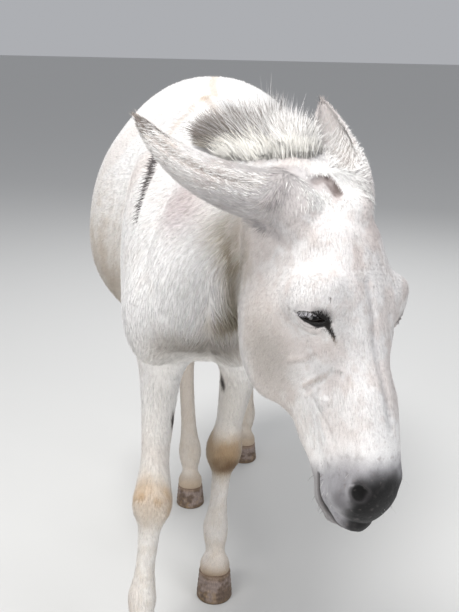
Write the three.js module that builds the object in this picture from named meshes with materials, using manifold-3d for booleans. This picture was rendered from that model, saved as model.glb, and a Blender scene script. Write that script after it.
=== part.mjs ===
// A standing donkey with its head turned to its own left and carried low, one ear out to the side and one ear back.
// The animal faces -Y, its left side is +X, +Z is up. All sizes below are in metres; the finished group is in millimetres.
import * as THREE from 'three';
import { mergeVertices } from 'three/addons/utils/BufferGeometryUtils.js';
import Module from 'manifold-3d';

// ---------------------------------------------------------------- sizes
// trunk sections: y, top, widest level, bottom, half width, roundness, sideways shift
const TRUNK = [
  [-.21, .90, .76, .665, .085, 2.0, -.010], [-.13, .985, .75, .620, .118, 2.1, -.010], [-.03, 1.058, .74, .588, .128, 2.1, -.006],
  [.07, 1.078, .735, .566, .138, 2.1, -.004], [.18, 1.068, .735, .548, .192, 2.1, -.004], [.30, 1.060, .74, .530, .254, 2.1, -.006],
  [.42, 1.068, .745, .522, .277, 2.1, -.006], [.53, 1.087, .77, .545, .268, 2.1, -.004], [.62, 1.103, .79, .600, .243, 2.1, 0],
  [.70, 1.078, .815, .675, .194, 2.1, 0]];
// neck sections: centre, half width, up, down, roundness
const NECK = [[-.008, .06, .86, .105, .18, .20, 2], [.005, -.08, .865, .097, .168, .19, 2], [.045, -.19, .876, .090, .146, .165, 2],
  [.105, -.275, .893, .082, .134, .14, 2], [.160, -.335, .912, .074, .118, .115, 2], [.205, -.365, .925, .065, .090, .09, 2]];
// head frame: origin at the poll, then the directions of its left, of the line down the face, and out of the forehead
const HEAD_AT = [.245, -.422, .992];
const HEAD_LEFT = [.733, .663, -.151], HEAD_DOWN = [.147, -.371, -.917], HEAD_OUT = [.664, -.65, .37];
// skull and upper jaw: distance down the face, centre depth, half width, out, in, roundness
const SKULL = [[-.035, -.105, .048, .045, .055, 2.0], [0, -.100, .062, .056, .070, 2.1], [.05, -.094, .070, .078, .080, 2.3],
  [.10, -.080, .077, .078, .085, 2.5], [.155, -.068, .084, .067, .085, 2.6], [.20, -.068, .072, .065, .080, 2.6],
  [.25, -.070, .055, .062, .070, 2.4], [.30, -.072, .057, .065, .062, 2.5], [.35, -.074, .053, .062, .054, 2.5],
  [.395, -.078, .053, .059, .046, 2.4], [.430, -.086, .054, .054, .040, 2.3], [.452, -.096, .047, .042, .034, 2.2],
  [.465, -.104, .032, .028, .026, 2.0]];
const JAW = [[.045, -.138, .056, .05, .088, 2.4], [.10, -.150, .066, .05, .104, 2.7], [.16, -.155, .069, .05, .112, 2.8],
  [.210, -.153, .066, .05, .122, 2.8], [.250, -.148, .059, .045, .110, 2.7], [.280, -.142, .049, .038, .078, 2.4],
  [.305, -.138, .042, .034, .060, 2.2], [.345, -.133, .036, .029, .052, 2.2], [.375, -.130, .034, .026, .042, 2.2],
  [.41, -.130, .035, .023, .031, 2.2], [.445, -.134, .035, .020, .027, 2.2], [.466, -.136, .024, .014, .018, 2.0]];
// eyes, in the head frame
const EYE_AT = [.0815, .1798, -.0558], EYE_R = .0195, EYE_SLIT = [.0215, .0062, .030];
// limbs: joints as [x, y, z]
const FORE = {
  right: { elbow: [-.080, -.015, .585], knee: [-.088, -.12, .328], fetlock: [-.106, -.148, .138], foot: [-.109, -.192, 0] },
  left: { elbow: [.078, .02, .585], knee: [.044, .105, .340], fetlock: [.029, .122, .148], foot: [.029, .088, 0] } };
const HIND = {
  right: { hip: [-.105, .68, .86], stifle: [-.118, .53, .66], hock: [-.077, .675, .43], fetlock: [-.051, .560, .125], foot: [-.047, .522, 0] },
  left: { hip: [.105, .70, .86], stifle: [.115, .60, .66], hock: [.103, .825, .43], fetlock: [.093, .838, .122], foot: [.092, .805, 0] } };
// sections down a limb: part of the limb, place along it, half width, front, back, roundness
const FORE_GIRTH = [['arm', 0, .050, .060, .068, 2], ['arm', .22, .041, .050, .049, 2], ['arm', .50, .0325, .039, .037, 2],
  ['arm', .74, .0300, .0315, .033, 2], ['arm', .90, .0365, .033, .036, 2.3], ['arm', 1, .0400, .0365, .039, 2.6],
  ['shin', .12, .0365, .034, .038, 2.5], ['shin', .26, .0250, .0240, .032, 2.1], ['shin', .46, .0210, .0205, .030, 2],
  ['shin', .72, .0208, .0205, .031, 2], ['shin', .88, .0245, .0235, .035, 2], ['shin', 1, .0285, .0265, .040, 2.1],
  ['pastern', .27, .0265, .0245, .036, 2], ['pastern', .60, .0225, .0225, .027, 2], ['pastern', .86, .0325, .0330, .0305, 2],
  ['pastern', 1, .0340, .0360, .0325, 2.1]];
const HIND_GIRTH = [['thigh', .45, .084, .135, .135, 2], ['thigh', .90, .072, .100, .120, 2], ['arm', .25, .056, .066, .085, 2],
  ['arm', .55, .040, .043, .054, 2], ['arm', .84, .030, .032, .042, 2.1], ['arm', 1, .0335, .038, .042, 2.3],
  ['shin', .16, .0305, .032, .034, 2.2], ['shin', .36, .0225, .0225, .031, 2], ['shin', .66, .0205, .0205, .031, 2],
  ['shin', .86, .0235, .0225, .034, 2], ['shin', 1, .0300, .0270, .040, 2.1], ['pastern', .27, .0270, .0245, .035, 2],
  ['pastern', .60, .0215, .0215, .026, 2], ['pastern', .86, .0310, .0315, .0290, 2], ['pastern', 1, .0325, .0340, .0310, 2.1]];
const CORONET = .60, FORE_HOOF_R = .039, HIND_HOOF_R = .036;
// ears: base in the head frame, tip, sag of the axis, turn of the opening; and sections along the ear:
// place, half width, depth to the opening, depth to the back, opening half width
const FACING = [.07, -1.86, 1.22];
const EAR = { right: { base: [-.070, -.005, -.102], tip: [-.100, -.284, 1.077], sag: -.030, turn: 12 },
  left: { base: [.024, .004, -.054], tip: [.203, -.098, 1.094], sag: 0, turn: 4 } };
const EAR_SKIN = .007;
const EAR_GIRTH = {
  right: [[-.12, .036, .034, .036, 0, .004], [0, .038, .036, .038, 0, .004], [.10, .039, .036, .038, 0, .005], [.22, .038, .034, .036, 0, .005],
    [.38, .034, .030, .033, 0, .005], [.55, .029, .025, .028, 0, .005], [.72, .022, .018, .021, 0, .005], [.86, .015, .011, .014, -.002, .004],
    [.96, .0075, .005, .008, -.004, .002], [1, .004, .003, .004, -.005, .001]],
  left: [[-.12, .036, .034, .036, 0, .004], [0, .040, .036, .038, 0, .008], [.10, .044, .034, .038, 0, .020], [.25, .045, .026, .036, 0, .028],
    [.42, .039, .018, .031, 0, .026], [.60, .031, .013, .025, 0, .020], [.76, .023, .009, .018, 0, .014], [.88, .0145, .006, .012, -.002, .007],
    [.96, .008, .004, .008, -.004, .002], [1, .004, .003, .004, -.005, .001]] };
// mane: place along the neck, height, half thickness, direction it stands in
const MANE = [[-.10, .016, .012, [-.62, .62, .48]], [-.14, .056, .018, [-.62, .60, .50]], [-.185, .080, .023, [-.60, .50, .58]],
  [-.235, .092, .026, [-.54, .42, .68]], [-.285, .090, .026, [-.33, .28, .90]], [-.322, .070, .022, [-.02, .07, 1]],
  [-.350, .024, .014, [.05, 0, 1]]];
// tail: y, z, half width, front, back
const TAIL = [[.79, .992, .030, .030, .030], [.838, .976, .030, .029, .030], [.879, .935, .027, .026, .027], [.904, .860, .024, .023, .024],
  [.908, .76, .022, .021, .022], [.902, .68, .024, .023, .023], [.903, .60, .034, .031, .031], [.904, .51, .039, .034, .034],
  [.904, .43, .034, .030, .030], [.903, .37, .021, .019, .019], [.902, .335, .008, .008, .008]];
const GAP = .0006;            // thickness of the cuts between neighbouring parts
const CELL = .0055, EAR_CELL = .0028;
const BODY_FACES = 4000, EAR_FACES = 420, MANE_FACES = 300;

// ---------------------------------------------------------------- vectors
const add = (a, b) => [a[0] + b[0], a[1] + b[1], a[2] + b[2]];
const sub = (a, b) => [a[0] - b[0], a[1] - b[1], a[2] - b[2]];
const mul = (a, k) => [a[0] * k, a[1] * k, a[2] * k];
const dot = (a, b) => a[0] * b[0] + a[1] * b[1] + a[2] * b[2];
const cross = (a, b) => [a[1] * b[2] - a[2] * b[1], a[2] * b[0] - a[0] * b[2], a[0] * b[1] - a[1] * b[0]];
const len = a => Math.hypot(a[0], a[1], a[2]);
const unit = a => mul(a, 1 / Math.max(len(a), 1e-12));
const mix = (a, b, t) => add(a, mul(sub(b, a), t));
const rad = d => d * Math.PI / 180;

// the three directions of the head, made exactly square to each other
const hd = unit(HEAD_DOWN);
const hx = unit(sub(HEAD_LEFT, mul(hd, dot(HEAD_LEFT, hd))));
const hz = (c => dot(c, HEAD_OUT) > 0 ? c : mul(c, -1))(cross(hx, hd));
const onHead = p => add(HEAD_AT, headDir(p));
const headDir = p => add(add(mul(hx, p[0]), mul(hd, p[1])), mul(hz, p[2]));

// ---------------------------------------------------------------- solids as distance functions
const blend = (a, b, k) => { if (k <= 0) return Math.min(a, b); const h = Math.max(k - Math.abs(a - b), 0) / k; return Math.min(a, b) - h * h * k * .25; };

// rows through the given sections on a smooth curve
function smooth(st, n) {
  const m = st.length, w = st[0].length, s = [];
  for (let i = 0; i + 1 < m; i++) s.push(len(sub(st[i + 1], st[i])));
  const d = s.map((h, i) => st[i].map((v, j) => (st[i + 1][j] - v) / h));
  const g = st.map((_, i) => i === 0 ? d[0] : i === m - 1 ? d[m - 2] : d[i].map((v, j) => (d[i - 1][j] * s[i] + v * s[i - 1]) / (s[i] + s[i - 1])));
  const out = [];
  for (let i = 0; i + 1 < m; i++) for (let q = 0; q < n; q++) {
    const t = q / n, t2 = t * t, t3 = t2 * t, r = [];
    for (let j = 0; j < w; j++) r.push((2 * t3 - 3 * t2 + 1) * st[i][j] + (t3 - 2 * t2 + t) * s[i] * g[i][j] + (3 * t2 - 2 * t3) * st[i + 1][j] + (t3 - t2) * s[i] * g[i + 1][j]);
    out.push(r);
  }
  out.push(st[m - 1].slice());
  return out;
}
// a body of rounded sections strung along a curve; up tells which way the third size points
function loft(st, up, cap = 1) {
  const N = 5, r = smooth(st, N), m = r.length - 1, ups = Array.isArray(up[0]) ? up : null;
  const C = r.map(v => v.slice(0, 3)), S = r.map(v => v.slice(3, 7).map(x => Math.max(x, 1e-3)));
  const T = C.map((_, i) => {
    if (i === 0) return unit(sub(C[1], C[0])); if (i === m) return unit(sub(C[m], C[m - 1]));
    return unit(sub(C[i + 1], C[i - 1]));
  });
  const D = T.map((t, i) => { let u = up; if (ups) { const k = Math.min(i / N, ups.length - 1), a = Math.min(Math.floor(k), ups.length - 2); u = mix(ups[a], ups[a + 1], k - a); } return unit(sub(u, mul(t, dot(u, t)))); });
  const L = T.map((t, i) => cross(t, D[i]));
  const lo = [1e9, 1e9, 1e9], hi = [-1e9, -1e9, -1e9];
  C.forEach((c, i) => { const q = Math.max(S[i][0], S[i][1], S[i][2]); for (let j = 0; j < 3; j++) { lo[j] = Math.min(lo[j], c[j] - q); hi[j] = Math.max(hi[j], c[j] + q); } });
  const seg = []; for (let i = 0; i < m; i++) { const e = sub(C[i + 1], C[i]); seg.push([...C[i], ...e, dot(e, e)]); }
  const f = (x, y, z) => {
    let best = 1e18, b = 0, bt = 0, ov = 0;
    for (let i = 0; i < m; i++) {
      const s = seg[i], qx = x - s[0], qy = y - s[1], qz = z - s[2], t = (qx * s[3] + qy * s[4] + qz * s[5]) / s[6], c = t < 0 ? 0 : t > 1 ? 1 : t;
      const d2 = qx * qx + qy * qy + qz * qz - c * (2 * t - c) * s[6];
      if (d2 < best) { best = d2; b = i; bt = c; ov = i === 0 && t < 0 ? t * Math.sqrt(s[6]) : i === m - 1 && t > 1 ? (t - 1) * Math.sqrt(s[6]) : 0; }
    }
    const a = 1 - bt, c0 = C[b], c1 = C[b + 1], l0 = L[b], l1 = L[b + 1], d0 = D[b], d1 = D[b + 1], s0 = S[b], s1 = S[b + 1];
    const px = x - (c0[0] * a + c1[0] * bt), py = y - (c0[1] * a + c1[1] * bt), pz = z - (c0[2] * a + c1[2] * bt);
    const u = px * (l0[0] * a + l1[0] * bt) + py * (l0[1] * a + l1[1] * bt) + pz * (l0[2] * a + l1[2] * bt);
    const v = px * (d0[0] * a + d1[0] * bt) + py * (d0[1] * a + d1[1] * bt) + pz * (d0[2] * a + d1[2] * bt);
    const w = s0[0] * a + s1[0] * bt, ra = s0[1] * a + s1[1] * bt, rp = s0[2] * a + s1[2] * bt, n = s0[3] * a + s1[3] * bt, rr = v > 0 ? ra : rp;
    const cz = cap * Math.min(w, ra, rp), X = Math.max(Math.abs(u) / w, 1e-6), Y = Math.max(Math.abs(v) / rr, 1e-6), Z = Math.abs(ov) / cz;
    const xn = X ** (n - 1), yn = Y ** (n - 1), zn = Z > 0 ? Z ** (n - 1) : 0, q = xn * X + yn * Y + zn * Z, F = q ** (1 / n), g = F / q;
    return (F - 1) / Math.max(g * Math.sqrt((xn / w) ** 2 + (yn / rr) ** 2 + (zn / cz) ** 2), 1e-3);
  };
  return { f, lo, hi };
}
function ellipsoid(c, r, M = [[1, 0, 0], [0, 1, 0], [0, 0, 1]]) {
  const e = [0, 1, 2].map(j => Math.abs(M[0][j]) * r[0] + Math.abs(M[1][j]) * r[1] + Math.abs(M[2][j]) * r[2]);
  const f = (x, y, z) => {
    const p = [x - c[0], y - c[1], z - c[2]], a = dot(p, M[0]) / r[0], b = dot(p, M[1]) / r[1], d = dot(p, M[2]) / r[2];
    const k0 = Math.hypot(a, b, d), k1 = Math.hypot(a / r[0], b / r[1], d / r[2]); return k0 * (k0 - 1) / Math.max(k1, 1e-9);
  };
  return { f, lo: sub(c, e), hi: add(c, e) };
}
function cone(a, b, ra, rb) {
  const e = sub(b, a), l2 = dot(e, e);
  const f = (x, y, z) => { const p = [x - a[0], y - a[1], z - a[2]], t = Math.min(Math.max(dot(p, e) / l2, 0), 1); return len(sub(p, mul(e, t))) - (ra + t * (rb - ra)); };
  return { f, lo: [0, 1, 2].map(j => Math.min(a[j] - ra, b[j] - rb)), hi: [0, 1, 2].map(j => Math.max(a[j] + ra, b[j] + rb)) };
}
// a shape is a list of steps worked in order on the distance
class Shape {
  constructor() { this.ops = []; }
  join(p, k = .02) { this.ops.push({ t: 0, p, k }); return this; }
  carve(p, k = .01) { this.ops.push({ t: 1, p, k }); return this; }
  swell(c, r, amp, M = [[1, 0, 0], [0, 1, 0], [0, 0, 1]]) {
    const e = [0, 1, 2].map(j => 2.4 * (Math.abs(M[0][j]) * r[0] + Math.abs(M[1][j]) * r[1] + Math.abs(M[2][j]) * r[2]));
    this.ops.push({ t: 2, c, r, amp, M, lo: sub(c, e), hi: add(c, e) }); return this;
  }
  ridge(pts, w, amp) {
    const lo = [0, 1, 2].map(j => Math.min(...pts.map(p => p[j])) - 2.4 * w), hi = [0, 1, 2].map(j => Math.max(...pts.map(p => p[j])) + 2.4 * w);
    this.ops.push({ t: 3, pts, w, amp, lo, hi }); return this;
  }
  box() {
    const lo = [1e9, 1e9, 1e9], hi = [-1e9, -1e9, -1e9];
    for (const o of this.ops) if (o.t === 0) for (let j = 0; j < 3; j++) { lo[j] = Math.min(lo[j], o.p.lo[j]); hi[j] = Math.max(hi[j], o.p.hi[j]); }
    return [lo, hi];
  }
  at(x, y, z, band) {
    let d = .5;
    for (const o of this.ops) {
      if (o.t < 2) {
        const m = band + o.k + .02, l = o.p.lo, h = o.p.hi;
        if (x < l[0] - m || x > h[0] + m || y < l[1] - m || y > h[1] + m || z < l[2] - m || z > h[2] + m) continue;
        const v = o.p.f(x, y, z); d = o.t === 0 ? blend(d, v, o.k) : -blend(-d, v, o.k);
      } else {
        if (x < o.lo[0] || x > o.hi[0] || y < o.lo[1] || y > o.hi[1] || z < o.lo[2] || z > o.hi[2]) continue;
        if (o.t === 2) {
          const p = [x - o.c[0], y - o.c[1], z - o.c[2]], a = dot(p, o.M[0]) / o.r[0], b = dot(p, o.M[1]) / o.r[1], c = dot(p, o.M[2]) / o.r[2];
          d -= o.amp * Math.exp(-(a * a + b * b + c * c));
        } else {
          let best = 1e9; const p = [x, y, z];
          for (let i = 0; i + 1 < o.pts.length; i++) { const a = o.pts[i], e = sub(o.pts[i + 1], a), q = sub(p, a), t = Math.min(Math.max(dot(q, e) / dot(e, e), 0), 1), r = sub(q, mul(e, t)); best = Math.min(best, dot(r, r)); }
          d -= o.amp * Math.exp(-best / (o.w * o.w));
        }
      }
    }
    return d;
  }
}

// ---------------------------------------------------------------- the animal
const SIDES = [['right', -1], ['left', 1]];
const tilt = a => [[1, 0, 0], [0, Math.cos(a), Math.sin(a)], [0, -Math.sin(a), Math.cos(a)]];
const headAxes = [hx, hd, hz];
const alongHead = (rows, cap = 1) => loft(rows.map(r => [...onHead([0, r[0], r[1]]), ...r.slice(2)]), hz, cap);
function limb(j, girth, top) {
  const co = mix(j.fetlock, j.foot, CORONET), leg = { thigh: [j.hip, j.stifle], arm: [j.elbow || j.stifle, j.knee || j.hock], shin: [j.knee || j.hock, j.fetlock], pastern: [j.fetlock, co] };
  return loft([top, ...girth.map(([part, t, ...s]) => [...mix(leg[part][0], leg[part][1], t), ...s])], [0, -1, 0], .35);
}
const foreLimb = j => limb(j, FORE_GIRTH, [...add(j.elbow, [0, -.01, .10]), .050, .075, .085, 2]);
const hindLimb = j => limb(j, HIND_GIRTH, [...add(j.hip, [0, 0, .05]), .080, .13, .125, 2]);
function earAxis(side) {
  const E = EAR[side], b = onHead(E.base), e = unit(sub(E.tip, b)), L = len(sub(E.tip, b));
  let c = sub(FACING, mix(b, E.tip, .5)); c = unit(sub(c, mul(e, dot(c, e))));
  let k = cross(e, c); k = mul(k, Math.sign(k[2]));
  const o = add(mul(c, Math.cos(rad(E.turn))), mul(k, Math.sin(rad(E.turn))));
  let s = cross(e, o); s = mul(s, Math.sign(s[2]));
  return { b, e, o, L, at: t => add(add(b, mul(e, L * t)), mul(s, E.sag * 4 * Math.max(t, 0) * (1 - Math.max(t, 0)))) };
}
function ear(side) {
  const A = earAxis(side), G = EAR_GIRTH[side], mid = G.filter(g => g[0] >= .05 && g[0] <= .97), k = EAR_SKIN;
  const outer = loft(G.map(([t, w, a, p, of]) => [...add(A.at(t), mul(A.o, of)), w, a, p, 2]), A.o);
  const inner = loft(mid.map(([t, w, a, p, of]) => [...add(A.at(t), mul(A.o, of)), Math.max(w - k, .002) * .98, Math.max(a - k, .002), Math.max(p - k, .002), 2]), A.o, .8);
  const slit = loft(mid.map(([t, w, a, p, of, s]) => [...add(A.at(t), mul(A.o, of + a * .5)), s, a * .9, a * .5, 2]), A.o);
  const hollow = { f: (x, y, z) => blend(inner.f(x, y, z), slit.f(x, y, z), .006), lo: inner.lo.map((v, j) => Math.min(v, slit.lo[j])), hi: inner.hi.map((v, j) => Math.max(v, slit.hi[j])) };
  return new Shape().join(outer, .0).carve(hollow, .004);
}
// the line where the mane stands on the neck, found on the surface of the body
function crest(S) {
  const r = smooth(NECK, 5), last = r[r.length - 1];
  return MANE.map(([y, h, w, u]) => {
    const q = Math.max(y, last[1]); let i = 0; while (i + 2 < r.length && r[i + 1][1] > q) i++;
    const t = Math.min(Math.max((q - r[i][1]) / (r[i + 1][1] - r[i][1]), 0), 1), v = r[i].map((a, j) => a + (r[i + 1][j] - a) * t);
    const past = Math.max(last[1] - y, 0), n = unit(u); let a = 0, b = .4;
    const from = [v[0] + past * .5, y, v[2]];
    for (let k = 0; k < 22; k++) { const m = (a + b) / 2, p = add(from, mul([0, 0, 1], m)); if (S.at(p[0], p[1], p[2], .03) < 0) a = m; else b = m; }
    const p = add(from, [0, 0, a]), e = .004;
    return { c: p, h, w, u: n, n: unit([0, 1, 2].map(j => { const o = [0, 0, 0]; o[j] = e; return S.at(...add(p, o), .03) - S.at(...sub(p, o), .03); })) };
  });
}
function mane(c) {
  return new Shape().join(loft(c.map(s => [...add(s.c, mul(s.u, s.h * .5 - .012)), s.w, s.h * .5 + .004, s.h * .5 + .012, 2]), c.map(s => s.u), .6), 0);
}
function body() {
  const S = new Shape();
  S.join(loft(TRUNK.map(([y, zt, zw, zb, w, n, x]) => [x, y, zw, w, zt - zw, zw - zb, n]), [0, 0, 1]), 0);
  S.join(loft(NECK, [0, 0, 1]), .08);
  for (const [, s] of SIDES) {
    S.join(ellipsoid([s * .080 - .008, -.050, .80], [.054, .110, .19], tilt(rad(-12))), .06);   // shoulder blade
    S.join(ellipsoid([s * .072 - .008, -.175, .71], [.052, .065, .085]), .05);                 // point of the shoulder
  }
  for (const [side] of SIDES) { S.join(foreLimb(FORE[side]), .05); S.join(hindLimb(HIND[side]), .06); }
  S.join(ellipsoid([0, .672, .842], [.206, .168, .234]), .05);                        // rump
  for (const [side, s] of SIDES) {                                                    // buttock, down to the back of the gaskin
    const j = HIND[side], a = [s * .098, .765, .800], b = add(mix(j.stifle, j.hock, .35), [0, .020, .005]);
    S.join(cone(a, b, .084, .055), .05);
  }
  S.join(alongHead(SKULL), .03);
  S.join(alongHead(JAW), .025);
  for (const [, s] of SIDES) {
    const H = (x, d, z) => onHead([s * x, d, z]);
    S.join(ellipsoid(H(.070, .156, -.058), [.037, .036, .044], headAxes), .032);      // rim of the eye socket
    S.swell(H(.066, .160, -.150), [.03, .066, .068], .010, headAxes);                 // cheek
    S.swell(H(.084, .190, -.052), [.018, .024, .020], .004, headAxes);                // lids over the eyeball
    S.ridge([H(.078, .225, -.078), H(.064, .265, -.084), H(.056, .30, -.088)], .012, .005);
    S.swell(H(.080, .095, -.040), [.022, .022, .022], -.008, headAxes);               // hollow above the eye
    S.swell(H(.066, .235, -.045), [.02, .03, .03], -.006, headAxes);
    S.swell(H(.082, .140, -.022), [.020, .018, .022], .0085, headAxes);               // brow
    S.swell(H(.046, .030, -.020), [.028, .022, .028], -.0060, headAxes);              // temple
    S.swell(H(.036, .270, -.020), [.018, .042, .020], -.0042, headAxes);              // side of the nose bone
    S.swell(H(.052, .425, -.050), [.02, .03, .025], .004, headAxes);                  // wing of the nostril
    S.join(cone(H(.056, .03, -.085), H(.066, -.003, -.100), .036, .036), .02);        // root of the ear
  }
  for (const [, s] of SIDES) {
    const H = (x, d, z) => onHead([s * x, d, z]), a = rad(s * -25), c = Math.cos(a), q = Math.sin(a);
    S.carve(ellipsoid(H(.054, .434, -.044), [.016, .013, .010], [add(mul(hx, c), mul(hd, q)), add(mul(hx, -q), mul(hd, c)), hz]), .010);
    S.ridge([H(.050, .392, -.124), H(.0415, .428, -.129), H(.0290, .462, -.127), H(.0170, .483, -.1085), H(0, .488, -.1045)], .0035, -.006);
  }
  S.join(loft(TAIL.map(([y, z, w, a, p]) => [0, y, z, w, a, p, 2]), [0, -1, 0]), .02);
  return S;
}

// ---------------------------------------------------------------- surface of a shape
function surface(shape, h, levels = 3) {
  let [lo, hi] = shape.box(); const H = h * 2 ** levels, n = [0, 1, 2].map(j => Math.ceil((hi[j] - lo[j] + 4 * h) / H) + 1);
  lo = lo.map(v => v - 3 * h);
  let cells = []; for (let i = 0; i < n[0]; i++) for (let j = 0; j < n[1]; j++) for (let k = 0; k < n[2]; k++) cells.push([i, j, k]);
  for (let L = levels; L >= 0; L--) {
    const s = h * 2 ** L, keep = [];
    for (const c of cells) {
      const d = shape.at(lo[0] + (c[0] + .5) * s, lo[1] + (c[1] + .5) * s, lo[2] + (c[2] + .5) * s, s * 2 + .03);
      if (Math.abs(d) < s * .87 * 1.5) keep.push(c);
    }
    cells = L ? keep.flatMap(([a, b, c]) => { const o = []; for (let q = 0; q < 8; q++) o.push([2 * a + (q & 1), 2 * b + ((q >> 1) & 1), 2 * c + (q >> 2)]); return o; }) : keep;
  }
  const K = 4096, key = (a, b, c) => ((a + 1) * K + b + 1) * K + c + 1, val = new Map();
  const V = (a, b, c) => { const k = key(a, b, c); let v = val.get(k); if (v === undefined) { v = shape.at(lo[0] + a * h, lo[1] + b * h, lo[2] + c * h, .03); val.set(k, v); } return v; };
  // one corner for every separate patch of surface in a cell, so that no edge is ever shared by more than two faces
  const id = new Map(), P = [], E = [[0, 1], [2, 3], [4, 5], [6, 7], [0, 2], [1, 3], [4, 6], [5, 7], [0, 4], [1, 5], [2, 6], [3, 7]];
  const edge = new Map(E.map(([i, j], k) => [i * 8 + j, k])), between = (i, j) => edge.get(Math.min(i, j) * 8 + Math.max(i, j));
  const SIDE = [[0, 1, 3, 2], [4, 5, 7, 6], [0, 1, 5, 4], [2, 3, 7, 6], [0, 2, 6, 4], [1, 3, 7, 5]];
  const used = [], known = new Set(cells.map(c => key(...c)));
  for (let n = 0; n < cells.length; n++) {
    const [a, b, c] = cells[n], v = []; let m = 0; for (let q = 0; q < 8; q++) { v.push(V(a + (q & 1), b + ((q >> 1) & 1), c + (q >> 2))); if (v[q] < 0) m++; }
    if (m === 0 || m === 8) continue;
    for (let ax = 0; ax < 3; ax++) for (const s of [0, 1]) {       // the surface goes on through every face that it crosses
      let k = 0; for (let q = 0; q < 8; q++) if (((q >> ax) & 1) === s && v[q] < 0) k++;
      if (k === 0 || k === 4) continue;
      const w = [a, b, c]; w[ax] += s ? 1 : -1; const kk = key(...w); if (!known.has(kk)) { known.add(kk); cells.push(w); }
    }
    const root = E.map((_, i) => i), find = i => { while (root[i] !== i) i = root[i]; return i; };
    for (const f of SIDE) {
      const es = [0, 1, 2, 3].map(i => between(f[i], f[(i + 1) % 4])), cr = [0, 1, 2, 3].filter(i => (v[f[i]] < 0) !== (v[f[(i + 1) % 4]] < 0));
      if (cr.length === 2) root[find(es[cr[0]])] = find(es[cr[1]]);
      else if (cr.length === 4) for (let i = 0; i < 4; i++) if (v[f[i]] < 0) root[find(es[i])] = find(es[(i + 3) % 4]);
    }
    const sum = new Map();
    E.forEach(([i, j], k) => {
      if ((v[i] < 0) === (v[j] < 0)) return;
      const t = v[i] / (v[i] - v[j]), r = find(k), o = sum.get(r) || [0, 0, 0, 0, []]; sum.set(r, o);
      o[0] += (i & 1) + t * ((j & 1) - (i & 1)); o[1] += ((i >> 1) & 1) + t * (((j >> 1) & 1) - ((i >> 1) & 1)); o[2] += (i >> 2) + t * ((j >> 2) - (i >> 2)); o[3]++; o[4].push(k);
    });
    const own = new Int32Array(12).fill(-1);
    for (const o of sum.values()) { for (const k of o[4]) own[k] = P.length; P.push([lo[0] + (a + o[0] / o[3]) * h, lo[1] + (b + o[1] / o[3]) * h, lo[2] + (c + o[2] / o[3]) * h]); }
    id.set(key(a, b, c), own); used.push([a, b, c]);
  }
  const T = [];
  for (const [a, b, c] of used) for (let ax = 0; ax < 3; ax++) {
    const e = [0, 0, 0]; e[ax] = 1; const v0 = V(a, b, c), v1 = V(a + e[0], b + e[1], c + e[2]); if ((v0 < 0) === (v1 < 0)) continue;
    const x = (ax + 1) % 3, y = (ax + 2) % 3, p = [0, 0, 0], q = [0, 0, 0]; p[x] = 1; q[y] = 1;
    const at = (da, db, dc, low) => { const o = id.get(key(a - da, b - db, c - dc)); return o ? o[between(low, low | (1 << ax))] : undefined; };
    const i0 = at(0, 0, 0, 0), i1 = at(...p, 1 << x), i2 = at(p[0] + q[0], p[1] + q[1], p[2] + q[2], (1 << x) | (1 << y)), i3 = at(...q, 1 << y);
    if (i1 === undefined || i2 === undefined || i3 === undefined) continue;
    if (v0 < 0) T.push([i0, i1, i2], [i0, i2, i3]); else T.push([i0, i2, i1], [i0, i3, i2]);
  }
  const e = h * .25;
  for (const p of P) {                                   // settle every corner on the true surface
    const d = shape.at(p[0], p[1], p[2], .03);
    const g = [shape.at(p[0] + e, p[1], p[2], .03) - shape.at(p[0] - e, p[1], p[2], .03), shape.at(p[0], p[1] + e, p[2], .03) - shape.at(p[0], p[1] - e, p[2], .03), shape.at(p[0], p[1], p[2] + e, .03) - shape.at(p[0], p[1], p[2] - e, .03)];
    const m = Math.max(len(g) / (2 * e), .2), s = Math.min(Math.max(d / m, -h), h) * .9, u = unit(g);
    for (let j = 0; j < 3; j++) p[j] -= u[j] * s;
  }
  return { P, T };
}

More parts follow.
